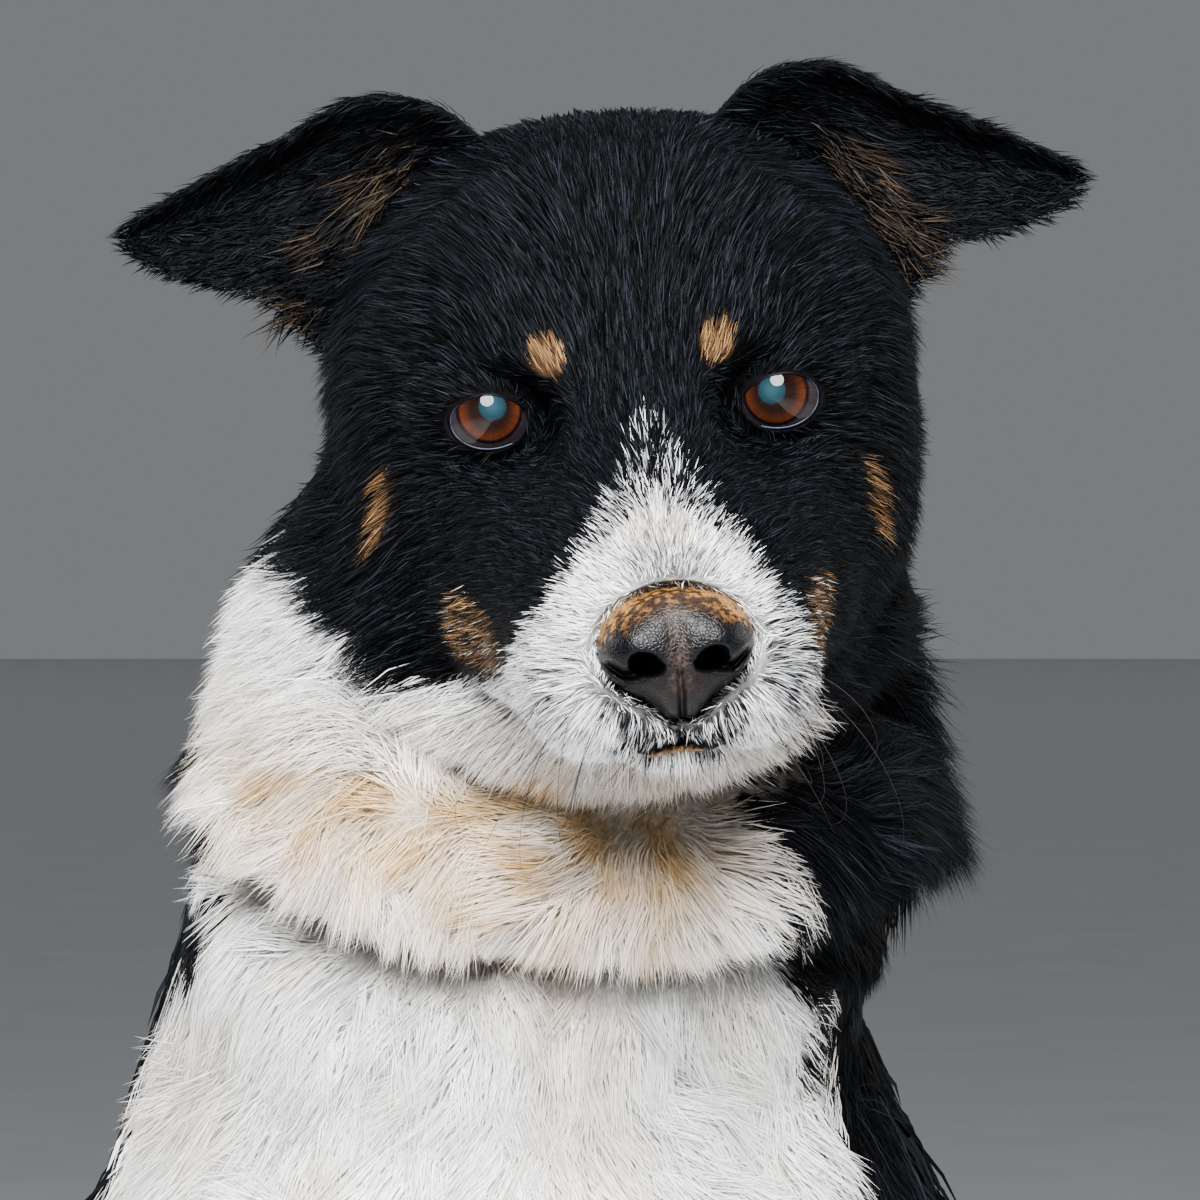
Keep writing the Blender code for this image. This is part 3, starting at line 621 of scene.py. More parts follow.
# Combing guides. Each says how the coat lies round its place: the place, the way it points, the locks' length
# in mm, how steeply they leave the skin in degrees, and how far they swing in mm. All but TAIL are for both sides.
FACE_LIE = (  # x, a, b in mm; direction in the head's axes
    ((0, 92, -12), (0.0, -1.0, 0.9), 5, 18, 0.3),
    ((0, 72, -8), (0.0, -1.0, 0.7), 7, 18, 0.4),
    ((13, 84, -16), (0.8, -1.0, 0.4), 6, 18, 0.4),
    ((12, 62, -9), (0.8, -0.9, 0.7), 9, 20, 0.6),
    ((0, 48, -3), (0.0, -0.7, 1.0), 9, 24, 0.6),
    ((8, 34, 1), (0.4, -0.7, 1.0), 10, 20, 0.7),
    ((0, 20, 5), (0.0, -0.5, 1.0), 10, 18, 0.6),
    ((20, 46, -12), (0.9, -0.8, 0.4), 9, 18, 0.6),
    ((28, 22, -14), (0.8, -1.0, -0.1), 9, 16, 0.6),
    ((22, 88, -30), (0.9, -0.9, 0.0), 7, 20, 0.5),
    ((33, 66, -34), (0.7, -1.0, -0.2), 10, 20, 0.8),
    ((36, 48, -50), (0.5, -1.0, -0.5), 12, 22, 1.0),
    ((9, 94, -50), (0.35, -0.4, -1.0), 7, 22, 1.2),
    ((22, 84, -52), (0.6, -0.7, -0.8), 10, 24, 0.9),
    ((30, 70, -62), (0.5, -0.8, -0.7), 12, 26, 1.2),
    ((0, 88, -66), (0.0, -0.3, -1.0), 11, 30, 2.2),
    ((16, 80, -70), (0.4, -0.6, -0.9), 12, 30, 2.4),
    ((0, 50, -76), (0.0, -1.0, -0.4), 16, 24, 2.0),
    ((30, 40, -72), (0.5, -1.0, -0.6), 17, 26, 2.2),
    ((40, 20, -40), (0.6, -1.0, -0.3), 12, 18, 1.0),
    ((44, 10, -68), (0.6, -1.0, -0.6), 22, 28, 3.0),
    ((34, 8, -16), (0.7, -0.8, -0.5), 6, 16, 0.4),
    ((21, 8, -4), (-0.2, -0.4, -0.9), 5, 14, 0.3),
    ((34, 6, 16), (0.35, -0.3, 1.0), 6, 16, 0.3),
    ((49, -6, 3), (1.0, -0.7, 0.2), 7, 16, 0.4),
    ((0, 6, 20), (0.0, -0.4, 1.0), 8, 16, 0.4),
    ((20, 2, 24), (0.35, -0.5, 1.0), 9, 18, 0.5),
    ((0, -22, 50), (0.0, -0.9, 0.6), 11, 18, 0.6),
    ((28, -18, 44), (0.6, -0.8, 0.6), 12, 20, 0.7),
    ((50, -22, 22), (1.0, -0.8, 0.25), 12, 18, 0.7),
    ((60, -24, -8), (0.5, -0.8, -0.7), 12, 16, 0.8),
    ((60, -20, -40), (0.4, -0.8, -0.9), 15, 20, 1.4),
    ((72, -42, -24), (0.5, -1.0, -0.4), 22, 24, 2.2),
    ((62, -30, -68), (0.7, -1.0, -0.7), 28, 32, 4.0),
    ((46, -42, 46), (0.9, -0.1, 0.5), 18, 36, 1.8),
    ((62, -44, 20), (1.0, -0.2, 0.0), 18, 34, 1.8),
    ((0, -60, 60), (0.0, -1.0, 0.1), 13, 16, 0.8),
    ((35, -66, 52), (0.4, -1.0, 0.1), 15, 20, 0.8),
    ((66, -60, 10), (0.4, -0.8, -0.8), 20, 22, 1.5),
    ((0, -100, 45), (0.0, -0.9, -0.8), 24, 24, 1.5),
    ((45, -100, 10), (0.3, -0.7, -1.0), 30, 24, 2.5),
    ((72, -62, -45), (0.5, -1.0, -0.7), 30, 30, 3.5),
)
BODY_LIE = (  # x, y, z in mm from BODY_ORIGIN; direction in the world's axes
    ((20, -175, 628), (0.0, -0.35, -1.0), 28, 36, 7.0),
    ((75, -160, 628), (0.8, -0.25, -0.9), 28, 36, 7.0),
    ((15, -178, 600), (0.0, -0.50, -1.0), 27, 38, 7.0),
    ((100, -110, 640), (0.6, 0.20, -0.9), 30, 36, 6.0),
    ((95, -60, 690), (0.4, 0.70, -0.7), 36, 28, 4.0),
    ((0, 10, 700), (0.0, 1.00, -0.8), 36, 26, 3.0),
    ((60, 10, 620), (0.4, 1.00, -0.9), 42, 28, 4.0),
    ((100, -70, 590), (0.4, 0.20, -1.0), 30, 18, 4.0),
    ((0, -172, 545), (0.0, -0.20, -1.0), 24, 28, 6.0),
    ((60, -160, 540), (1.10, -0.10, -0.75), 25, 30, 6.0),
    ((95, -110, 520), (0.9, 0.25, -0.8), 36, 26, 4.0),
    ((0, -172, 470), (0.0, 0.00, -1.0), 36, 26, 7.0),
    ((0, -130, 380), (0.0, 0.35, -1.0), 48, 28, 6.0),
    ((60, -140, 420), (0.5, 0.10, -1.0), 40, 24, 5.0),
    ((120, -40, 460), (0.2, 0.40, -1.0), 28, 20, 3.0),
    ((110, 20, 520), (0.3, 0.70, -1.0), 34, 22, 3.0),
    ((0, 50, 530), (0.0, 1.00, -0.9), 38, 24, 3.0),
    ((0, 180, 380), (0.0, 0.90, -1.0), 38, 22, 3.0),
    ((110, 100, 380), (0.1, 0.70, -1.0), 36, 22, 4.0),
    ((115, 170, 260), (0.1, 0.70, -1.0), 38, 22, 4.0),
    ((0, 300, 230), (0.0, 0.80, -1.0), 42, 24, 4.0),
    ((90, 300, 130), (0.2, 0.90, -0.6), 44, 28, 5.0),
    ((0, 60, 240), (0.0, 0.80, -0.6), 42, 26, 5.0),
    ((60, -30, 300), (0.0, 0.60, -1.0), 34, 22, 4.0),
    ((90, -80, 250), (0.0, 0.10, -1.0), 14, 18, 0.8),
    ((90, -70, 130), (0.0, 0.05, -1.0), 11, 16, 0.6),
    ((92, 35, 260), (0.1, 0.90, -0.9), 34, 28, 4.0),
    ((90, 15, 130), (0.0, 0.60, -1.0), 20, 24, 2.0),
    ((125, -20, 200), (0.5, 0.40, -1.0), 15, 18, 1.0),
    ((55, -20, 200), (-0.5, 0.40, -1.0), 15, 18, 1.0),
    ((90, -100, 28), (0.0, -1.00, -0.5), 8, 16, 0.5),
    ((160, 160, 190), (0.2, 0.60, -0.9), 30, 20, 3.0),
    ((150, 90, 170), (0.2, -0.20, -1.0), 24, 20, 2.0),
    ((150, 250, 120), (0.3, 0.90, -0.6), 38, 26, 5.0),
    ((150, 150, 100), (0.2, 0.80, -0.8), 18, 18, 1.5),
    ((135, 160, 48), (0.1, -0.90, -0.4), 11, 16, 0.6),
    ((135, 250, 40), (0.1, 0.60, -0.8), 20, 22, 2.0),
    ((138, 50, 26), (0.0, -1.00, -0.5), 8, 16, 0.5),
)
TAIL_LIE = (
    ((0, 340, 150), (0.0, 1.0, -0.9), 44, 22, 4.0),
    ((0, 400, 100), (0.1, 1.0, -0.7), 48, 24, 5.0),
    ((20, 460, 60), (0.7, 0.8, -0.2), 52, 24, 6.0),
    ((60, 490, 50), (1.0, 0.5, 0.0), 52, 24, 6.0),
    ((110, 510, 45), (1.0, 0.1, 0.0), 34, 22, 4.0),
    ((170, 512, 35), (1.0, -0.05, 0.0), 22, 18, 3.0),
)


def guide_table():
    """The guides as arrays in the world's axes: places, directions, and (length, lift, swing, reach) rows."""
    places, ways, numbers = [], [], []
    for place, way, *rest in FACE_LIE:
        for side in (1, -1) if place[0] else (1,):
            flip = np.array((side, 1, 1))
            places.append(on_head(np.array(place) * MM * flip))
            ways.append(HEAD_TURN @ (np.array(way) * flip))
            numbers.append((*rest, 0.009))
    for table, sides, reach in ((BODY_LIE, (1, -1), 0.035), (TAIL_LIE, (1,), 0.03)):
        for place, way, *rest in table:
            for side in sides if place[0] else (1,):
                flip = np.array((side, 1, 1))
                places.append(BODY_ORIGIN + np.array(place) * MM * flip)
                ways.append(np.array(way) * flip)
                numbers.append((*rest, reach))
    return np.array(places), unit(np.array(ways)), np.array(numbers)


GUIDE_PLACES, GUIDE_WAYS, GUIDE_NUMBERS = guide_table()


def combed(points):
    """The lie at each point: direction, length, lift and swing, the mean of all guides'.

    Each guide's say falls with the fifth power of its distance, beyond its reach.
    """
    ways, numbers = np.empty((len(points), 3)), np.empty((len(points), 3))
    for start in range(0, len(points), 20000):
        part = slice(start, start + 20000)
        far = ((points[part, None] - GUIDE_PLACES[None]) ** 2).sum(-1)
        say = 1 / (far + GUIDE_NUMBERS[:, 3] ** 2) ** 2.5
        say /= say.sum(1, keepdims=True)
        ways[part] = say @ GUIDE_WAYS
        numbers[part] = say @ GUIDE_NUMBERS[:, :3]
    return unit(ways), numbers[:, 0] * MM, np.radians(numbers[:, 1]), numbers[:, 2] * MM


# ---- Skin ----

NOSE_MIDDLE = np.array((0.0008, 0.0885, -0.0330))
NOSE_TURN = np.array(
    ((1, 0, 0), (0, math.cos(NOSE_TILT), -math.sin(NOSE_TILT)), (0, math.sin(NOSE_TILT), math.cos(NOSE_TILT)))
)
NOSE_RIM = (  # the angle up from the side, in degrees, and the outline's reach from the nose's middle, in mm
    (-90, 16.4),
    (-80, 16.6),
    (-70, 15.2),
    (-58, 14.2),
    (-42, 14.8),
    (-15, 17.2),
    (10, 17.9),
    (30, 16.8),
    (60, 14.2),
    (90, 13.4),
)
EYE_OPEN = (0.0090, 0.0066)  # half width and half height of the opening between the lids
EYE_REACH, EYE_SLOPE = 0.0098, 0.42  # how far out the lids follow the ball, and how they fall away past that


def eye_far(q, side):
    """How far each point on the head is from the middle of that eye's opening: 1 at the lids' edge."""
    x, _, b = (q - EYE_CENTRES[side]).T
    return np.hypot(x / EYE_OPEN[0], b / EYE_OPEN[1])


def ball_height(radius):
    """How far the eyeball stands ahead of its middle, by Pythagoras, and past EYE_REACH a straight slope back."""
    return np.sqrt(EYE_RADIUS**2 - np.minimum(radius, EYE_REACH) ** 2) - np.maximum(radius - EYE_REACH, 0) * EYE_SLOPE


def nose_place(q):
    """Points in the nose's own axes, in mm, and how far out each is: 1 on the leather's outline."""
    r = (q - NOSE_MIDDLE) @ NOSE_TURN / MM
    out = np.hypot(r[..., 0], r[..., 2])
    climb = np.degrees(np.arcsin(np.clip(r[..., 2] / np.maximum(out, 1e-6), -1, 1)))
    return r, out / eased(NOSE_RIM, climb.ravel())[:, 0].reshape(climb.shape)


def flesh_nodes():
    """The solids that the skin stands for: all but eyes, nose leather and claws."""
    return [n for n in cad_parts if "claw" not in n and not n.startswith(("eye", "nose"))]


def flesh():
    """All solids but ears and claws, merged and swollen so that they overlap, melted into one closed hull."""
    whole = bmesh.new()
    for name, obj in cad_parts.items():
        if "claw" in name or name.startswith("ear"):
            continue
        part = bmesh.new()
        part.from_mesh(obj.data)
        bmesh.ops.remove_doubles(part, verts=part.verts, dist=1e-5)
        part.normal_update()
        for vertex in part.verts:
            vertex.co += vertex.normal * SWELL
        swollen = bpy.data.meshes.new("swollen")
        part.to_mesh(swollen)
        part.free()
        whole.from_mesh(swollen)
        bpy.data.meshes.remove(swollen)
    mesh = bpy.data.meshes.new("flesh")
    whole.to_mesh(mesh)
    whole.free()
    obj = linked("flesh", mesh)
    remesh = obj.modifiers.new("melt", "REMESH")
    remesh.mode = "VOXEL"
    remesh.voxel_size = SKIN_VOXEL
    bpy.context.view_layer.update()
    melted = bpy.data.meshes.new_from_object(obj.evaluated_get(bpy.context.evaluated_depsgraph_get()))
    bpy.data.objects.remove(obj)
    return melted


def arrays_of(mesh):
    """A mesh's points, edges and triangles."""
    mesh.calc_loop_triangles()
    points = np.empty(len(mesh.vertices) * 3, np.float32)
    mesh.vertices.foreach_get("co", points)
    edges = np.empty(len(mesh.edges) * 2, np.int32)
    mesh.edges.foreach_get("vertices", edges)
    faces = np.empty(len(mesh.loop_triangles) * 3, np.int32)
    mesh.loop_triangles.foreach_get("vertices", faces)
    return points.reshape(-1, 3).astype(float), edges.reshape(-1, 2), faces.reshape(-1, 3)


def relaxed(values, edges, rounds, share=0.5):
    """Draws each point's value towards the mean of its neighbours', by `share`, that many times."""
    count = np.maximum(np.bincount(edges.ravel(), minlength=len(values)), 1)[:, None]
    share = np.broadcast_to(share, (len(values),))[:, None]
    for _ in range(rounds):
        total = np.empty_like(values)
        for k in range(values.shape[1]):
            total[:, k] = np.bincount(edges[:, 0], values[edges[:, 1], k], len(values))
            total[:, k] += np.bincount(edges[:, 1], values[edges[:, 0], k], len(values))
        values = values + share * (total / count - values)
    return values


def normals_of(points, faces):
    """Each point's normal: its faces' own, weighted by their area."""
    a, b, c = (points[faces[:, k]] for k in range(3))
    face = np.cross(b - a, c - a)
    total = np.empty_like(points)
    for k in range(3):
        total[:, k] = sum(np.bincount(faces[:, i], face[:, k], len(points)) for i in range(3))
    return unit(total)


def write_points(mesh, points):
    """Puts the mesh's points at those places."""
    mesh.vertices.foreach_set("co", np.ascontiguousarray(points, np.float32).ravel())
    mesh.update()


def coat_depth(points):
    """How deep the coat stands: what a lock of the guides' length and lift reaches above the skin."""
    _, length, lift, _ = combed(points)
    return length * np.sin(lift) * 0.72


def divided_near_face(mesh, rounds=2):
    """Quarters the faces of the head's front and of the crease, so that they have points to be shaped with."""
    bm = bmesh.new()
    bm.from_mesh(mesh)
    for k in range(rounds):
        bm.verts.ensure_lookup_table()
        world = np.array([v.co for v in bm.verts])
        points = from_head(world)
        if k == 0:
            wanted = (points[:, 1] > -0.030) & (in_head(points) > 0)
            over, shown = crease_height(world - BODY_ORIGIN)
            wanted |= (np.abs(over) < 0.022) & (shown > 0.05)
        else:
            wanted = (points[:, 1] > 0.060) & (points[:, 2] < -0.008)
            for side in (1, -1):
                wanted |= eye_far(points, side) < 2.8
            wanted &= (points[:, 1] > -0.014) & (in_head(points) > 0)
        edges = [e for e in bm.edges if wanted[e.verts[0].index] and wanted[e.verts[1].index]]
        bmesh.ops.subdivide_edges(bm, edges=edges, cuts=1, use_grid_fill=True)
        bm.verts.index_update()
    bmesh.ops.triangulate(bm, faces=[f for f in bm.faces if len(f.verts) > 4])
    bm.to_mesh(mesh)
    bm.free()


def mouth_line(x, a):
    """The height of the line between the lips: it falls away to each side under the flews, then rises to its corner."""
    front = -0.0556 - 0.0112 * ramp(0.001, 0.026, np.abs(x))
    back = -0.0668 + 0.0075 * ramp(0.050, 0.012, a)
    return front + (back - front) * ramp(0.084, 0.066, a)


def shaped_face(q):
    """Sockets, the seat of the nose, the lips and the groove under the nose, worked into points of the head.

    Points near an eye move to the eyeball's height, points round the nose are held behind its seat, and bells
    across the mouth's line and the philtrum draw the rest in.
    """
    q = q.copy()
    for side in (1, -1):
        r = q - EYE_CENTRES[side]
        far = eye_far(q, side)
        hug = ball_height(np.hypot(r[:, 0], r[:, 2])) + 0.0006 * ramp(1.0, 1.12, far)
        hug += 0.0006 * ramp(1.1, 1.4, far) - 0.005 * ramp(1.02, 0.82, far)
        near = (r[:, 1] > -0.008) * ramp(2.4, 1.45, far)
        q[:, 1] += near * (hug - r[:, 1])
    r, out = nose_place(q)
    limit = -1.5 + 11 * ramp(0.92, 1.35, out) + 2.4 * ramp(-2, 4, r[:, 2]) * ramp(1.3, 1.1, out)
    back = np.where((r[:, 1] > -12) & (out < 1.35), np.maximum(r[:, 1] - limit, 0), 0) * MM
    q -= back[:, None] * NOSE_TURN[:, 1]
    x, a, b = q.T
    lips = (a > 0.012) & (b < -0.03)
    off = b - mouth_line(x, a)
    wide = 0.0018 + 0.0008 * hill(x, 0.008) * (a > 0.08)
    depth = 0.0048 * hill(off, wide) + 0.0022 * ramp(0, -0.003, off) * ramp(-0.022, -0.010, off)
    depth = depth * ramp(0.012, 0.024, a)
    philtrum = 0.0018 * hill(x - 0.0006, 0.0013) * ramp(-0.044, -0.047, b) * (b > -0.058) * (a > 0.08)
    inward = unit(np.array((0, 0.03, -0.045)) - q * (1, 0.6, 1))
    return q + inward * (depth * lips + philtrum)[:, None]


EAR_TUFTS = {  # along the ear and across it from the upper edge, as shares, and the patch's size along and across
    1: ((0.22, 0.38, 0.06, 0.10), (0.25, 0.46, 0.06, 0.12), (0.21, 0.66, 0.06, 0.16), (0.26, 0.86, 0.08, 0.10)),
    -1: ((0.20, 0.32, 0.08, 0.14), (0.12, 0.44, 0.05, 0.10), (0.28, 0.66, 0.05, 0.06), (0.33, 0.96, 0.07, 0.05)),
}
EAR_TOP_EDGE = (  # x, a, b of the ear's upper edge, from its root to its tip
    (0.016, -0.056, 0.048),
    (0.034, -0.066, 0.0625),
    (0.054, -0.074, 0.0635),
    (0.075, -0.076, 0.053),
    (0.098, -0.072, 0.0425),
    (0.122, -0.064, 0.030),
)
EAR_LOW_EDGE = (
    (0.060, -0.048, -0.012),
    (0.074, -0.054, 0.002),
    (0.084, -0.061, 0.012),
    (0.092, -0.063, 0.0135),
    (0.106, -0.064, 0.0175),
    (0.121, -0.0635, 0.0265),
)
EAR_LIFT = {1: 0.0, -1: 0.008}  # how much higher the tip stands on that side
EAR_CUP, EAR_THICK = 0.027, 0.0045


def ear_grid(side, rows=46, columns=20):
    """The ear as a folded leaf in the head's axes: its front face's grid and its back face's.

    Rows run from root to tip along two eased edges, and columns from edge to edge. The leaf is hollowed
    backwards by a parabola that fades towards the tip, and drawn in from the edges by the depth of its fur.
    """
    keys = np.arange(len(EAR_TOP_EDGE))[:, None]
    places = np.linspace(0, len(EAR_TOP_EDGE) - 1.25, rows)
    top = eased(np.hstack([keys, EAR_TOP_EDGE]), places)[:, None]
    low = eased(np.hstack([keys, EAR_LOW_EDGE]), places)[:, None]
    along = (places / (len(EAR_TOP_EDGE) - 1))[:, None, None]
    t = np.linspace(0.05, 0.93, columns)[None, :, None]
    hollow = 4 * t * (1 - t)
    centre = top * (1 - t) + low * t
    cup = EAR_CUP * hollow**0.8 * (1 - along) ** 0.9 + 0.004 * hollow
    thick = EAR_THICK * (0.25 + 0.75 * hollow**0.5) * (1 - 0.5 * along)
    back = np.array((0.25, -0.95, 0.05))
    front = centre + back * (cup + 0.0012) + np.array((0, 0, EAR_LIFT[side])) * along**1.5
    rear = front + back * thick + np.array((0.2, 0, 0.2)) * thick * (1 - t)
    return front * (side, 1, 1), rear * (side, 1, 1)


def ear_skin(side):
    """The leaf's two faces closed into one shape: rings that run out on the front and home on the back."""
    front, rear = ear_grid(side)
    return closed_grid(on_head(np.concatenate([front, rear[:, ::-1]], axis=1)))


def make_skin():
    """One hide for the whole animal: the melted hull drawn in by the coat's depth, and the ears let into it."""
    mesh = flesh()
    points, edges, faces = arrays_of(mesh)
    q = from_head(points)
    soft = np.where(in_head(q) > 0.004, 0.25, 0.6)
    points = relaxed(points, edges, 14, soft)
    normals = unit(relaxed(normals_of(points, faces), edges, 4))
    points = points - normals * coat_depth(points)[:, None]
    points = relaxed(points, edges, 6, np.where(in_head(q) > 0.004, 0.15, 0.5))
    points[:, 2] = np.maximum(points[:, 2], SKIN_CLEARANCE)
    write_points(mesh, points)
    divided_near_face(mesh)
    points, edges, faces = arrays_of(mesh)
    points = relaxed(points, edges, 3, np.where(in_head(from_head(points)) > 0.004, 0.5, 0.0))
    over, shown = crease_height(points - BODY_ORIGIN)
    collar, groove, bib = hill(over - 0.014, 0.012), hill(over + 0.003, 0.006), hill(over + 0.026, 0.014)
    move = 0.0050 * collar - 0.0105 * groove + 0.002 * bib
    move = move * shown - throat_depth(from_head(points))
    points = points + normals_of(points, outward(points, faces)) * move[:, None]
    head = in_head(from_head(points)) > 0
    points[head] = on_head(shaped_face(from_head(points[head])))
    bpy.data.meshes.remove(mesh)
    ears = [ear_skin(side) for side in (1, -1)]
    faces = outward(points, faces)
    hide_points, hide_faces = joined([(points, faces), *ears])
    obj = mesh_object("skin", hide_points, hide_faces)
    q = from_head(hide_points)
    # Painted shade under the coat: the skin is painted darker than its markings, to 0.85 on the body and down to 0.30
    # on the head, so the gaps between the hairs read dark; on the head this is partly also the skin's own greyer tone.
    # A band round the top of the nose leather is left out of it.
    front = ramp(-0.01, 0.02, in_head(q))[:, None]
    r, out = nose_place(q)
    pale_seat = hill(out - 1.05, 0.12)[:, None] * ramp(-2, 4, r[:, 2:3])
    colours = blended(hide_points) * (0.85 - 0.55 * front * (1 - pale_seat))
    # Painted shade: the skin is darkened by up to three quarters in the crease under the collar of long hair and in the
    # fold under the jaw.
    over, shown = crease_height(hide_points - BODY_ORIGIN)
    colours *= (1 - 0.75 * hill(over + 0.003, 0.006) * shown)[:, None]
    colours *= (1 - 0.75 * under_jaw(q))[:, None]
    # A grey-brown band on the skin round the top of the nose leather: partly the leather edge's own colour, partly
    # painted shade where the fur stands over the leather.
    ring = hill(out - 1.08, 0.07) * ramp(-2, 4, r[:, 2]) * (q[:, 1] > 0.07)
    colours = tinted(colours, linear("#4A4034"), ring * 0.85)
    colours[len(points) :] = BLACK * 0.9
    lips = (q[:, 1] > 0.012) & (q[:, 2] < -0.03) & (in_head(q) > 0)
    edge = hill(q[:, 2] - mouth_line(q[:, 0], q[:, 1]), 0.0026) * lips
    edge = np.maximum(edge, ramp(1.10, 1.00, out) * (q[:, 1] > 0.075) * ramp(3, -4, r[:, 2]))
    for side in (1, -1):
        edge = np.maximum(edge, ramp(1.20, 1.08, eye_far(q, side)) * (q[:, 1] > -0.012))
    painted(obj, "marking", tinted(colours, LIP, np.clip(edge * 1.3, 0, 1)))
    piece(obj, "black_coat", skin_material(), *flesh_nodes())
    return points, faces


# ---- Coat ----

SPOKE = 0.003  # each lock's patch on the map that colours are kept on
DROOP = np.array((0, 0, -0.12))  # what a lock's weight adds to the way of its tip
ROOT_DEPTH = 0.0004  # how far a lock starts under the skin
LOCK_RINGS = {1: (0.36,), 2: (0.20, 0.62)}  # where a lock's one or two sections stand along it
LOCK_WIDTHS = {1: (1.0,), 2: (1.0, 0.70)}  # and how wide they are, as shares of its width
LARGEST_PIECE = 190_000  # triangles


def locks(root, normal, along, length, lift, swing, width, clump, rings, dice):
    """Locks of hair as three-sided spindles, pointed at both ends: their points, normals and shares of the length.

    A lock leaves the skin at its lift, bends over to a quarter of that and droops, swings from side to side
    in a sine wave, leans with its clump's other locks to a common tip, and tapers to a point.
    """
    count = len(root)
    along = unit(along - normal * (along * normal).sum(1, keepdims=True))
    across = np.cross(normal, along)
    rise, lie = np.sin(lift)[:, None], np.cos(lift)[:, None]
    start = along * lie + normal * rise
    end = along + normal * rise * 0.25 + DROOP
    tip = root + (start + end) * length[:, None] / 2
    cell = np.floor((root + waves(root, 4 * clump, 31)[:, None] * clump * 0.3) / clump).astype(np.int64)
    _, group = np.unique(cell @ (1, 4099, 16785407), return_inverse=True)
    members = np.bincount(group)[:, None]
    centre = np.stack([np.bincount(group, tip[:, k]) for k in range(3)], 1) / members
    pull = (centre[group] - tip) * dice.uniform(0.1, 0.75, count)[:, None]
    fate = dice.uniform(0, 1, (members.size, 3))[group]
    place = np.array((0, *LOCK_RINGS[rings], 1))
    s = place[None, :, None]
    path = root[:, None] + length[:, None, None] * (start[:, None] * (s - s**2 / 2) + end[:, None] * s**2 / 2)
    path = path + pull[:, None] * s**1.6
    phase = (fate[:, 0] * 2 * np.pi + dice.normal(0, 0.35, count))[:, None, None]
    turns = 0.55 + 0.35 * fate[:, 1, None, None]
    bend = np.sin(2 * np.pi * turns * s + phase) - np.sin(phase)
    path = path + across[:, None] * (swing[:, None, None] * bend * s)
    ahead = unit(np.gradient(path, place, axis=1))[:, 1:-1]
    side = unit(np.cross(np.broadcast_to(normal[:, None], ahead.shape), ahead))
    top = np.cross(ahead, side)
    half = width[:, None, None] / 2 * np.array(LOCK_WIDTHS[rings])[None, :, None]
    ring = path[:, 1:-1]
    corners = np.stack([side - 0.25 * top, 0.65 * top, -side - 0.25 * top], 2)
    points = (ring[:, :, None] + corners * half[:, :, None]).reshape(count, -1, 3)
    points = np.concatenate([path[:, :1] - normal[:, None] * ROOT_DEPTH, points, path[:, -1:]], 1)
    points[..., 2] = np.maximum(points[..., 2], LOCK_CLEARANCE)
    looks = np.concatenate([normal[:, None], unit(corners).reshape(count, -1, 3), normal[:, None]], 1)
    return points, looks, np.concatenate([[0], np.repeat(place[1:-1], 3), [1]]), fate


def lock_faces(count, rings):
    """Triangles of `count` spindles: three from the root, two for each side of each length, and three to the tip."""
    c = np.arange(3)
    n = (c + 1) % 3
    last = 3 * rings - 2
    one = [np.stack([c * 0, 1 + n, 1 + c], 1)]
    for r in range(rings - 1):
        a, b = 1 + 3 * r + c, 1 + 3 * r + n
        one += [np.stack([a, b, b + 3], 1), np.stack([a, b + 3, a + 3], 1)]
    one = np.vstack([*one, np.stack([last + c, last + n, c * 0 + 3 * rings + 1], 1)])
    return (one[None] + (np.arange(count) * (3 * rings + 2))[:, None, None]).reshape(-1, 3)


def unrolled(points, start, end, flare):
    """The skin unrolled round the line from start to end: the turn round it, and the way along it.

    Where the form closes over its end, as a head does, `flare` shares out the way by the distance from the line.
    """
    axis = unit(end - start)
    way = (points - start) @ axis
    out = points - start - way[:, None] * axis
    right = unit(np.cross(axis, (0.02, 0.03, 1)))
    turn = np.arctan2(out @ np.cross(right, axis), out @ right) / (2 * np.pi) + 0.5
    places = np.stack([turn, way - flare * np.linalg.norm(out, axis=1)], 1)
    low, high = places.min(0), places.max(0)
    return SPOKE + (places - low) / (high - low) * (1 - 2 * SPOKE)


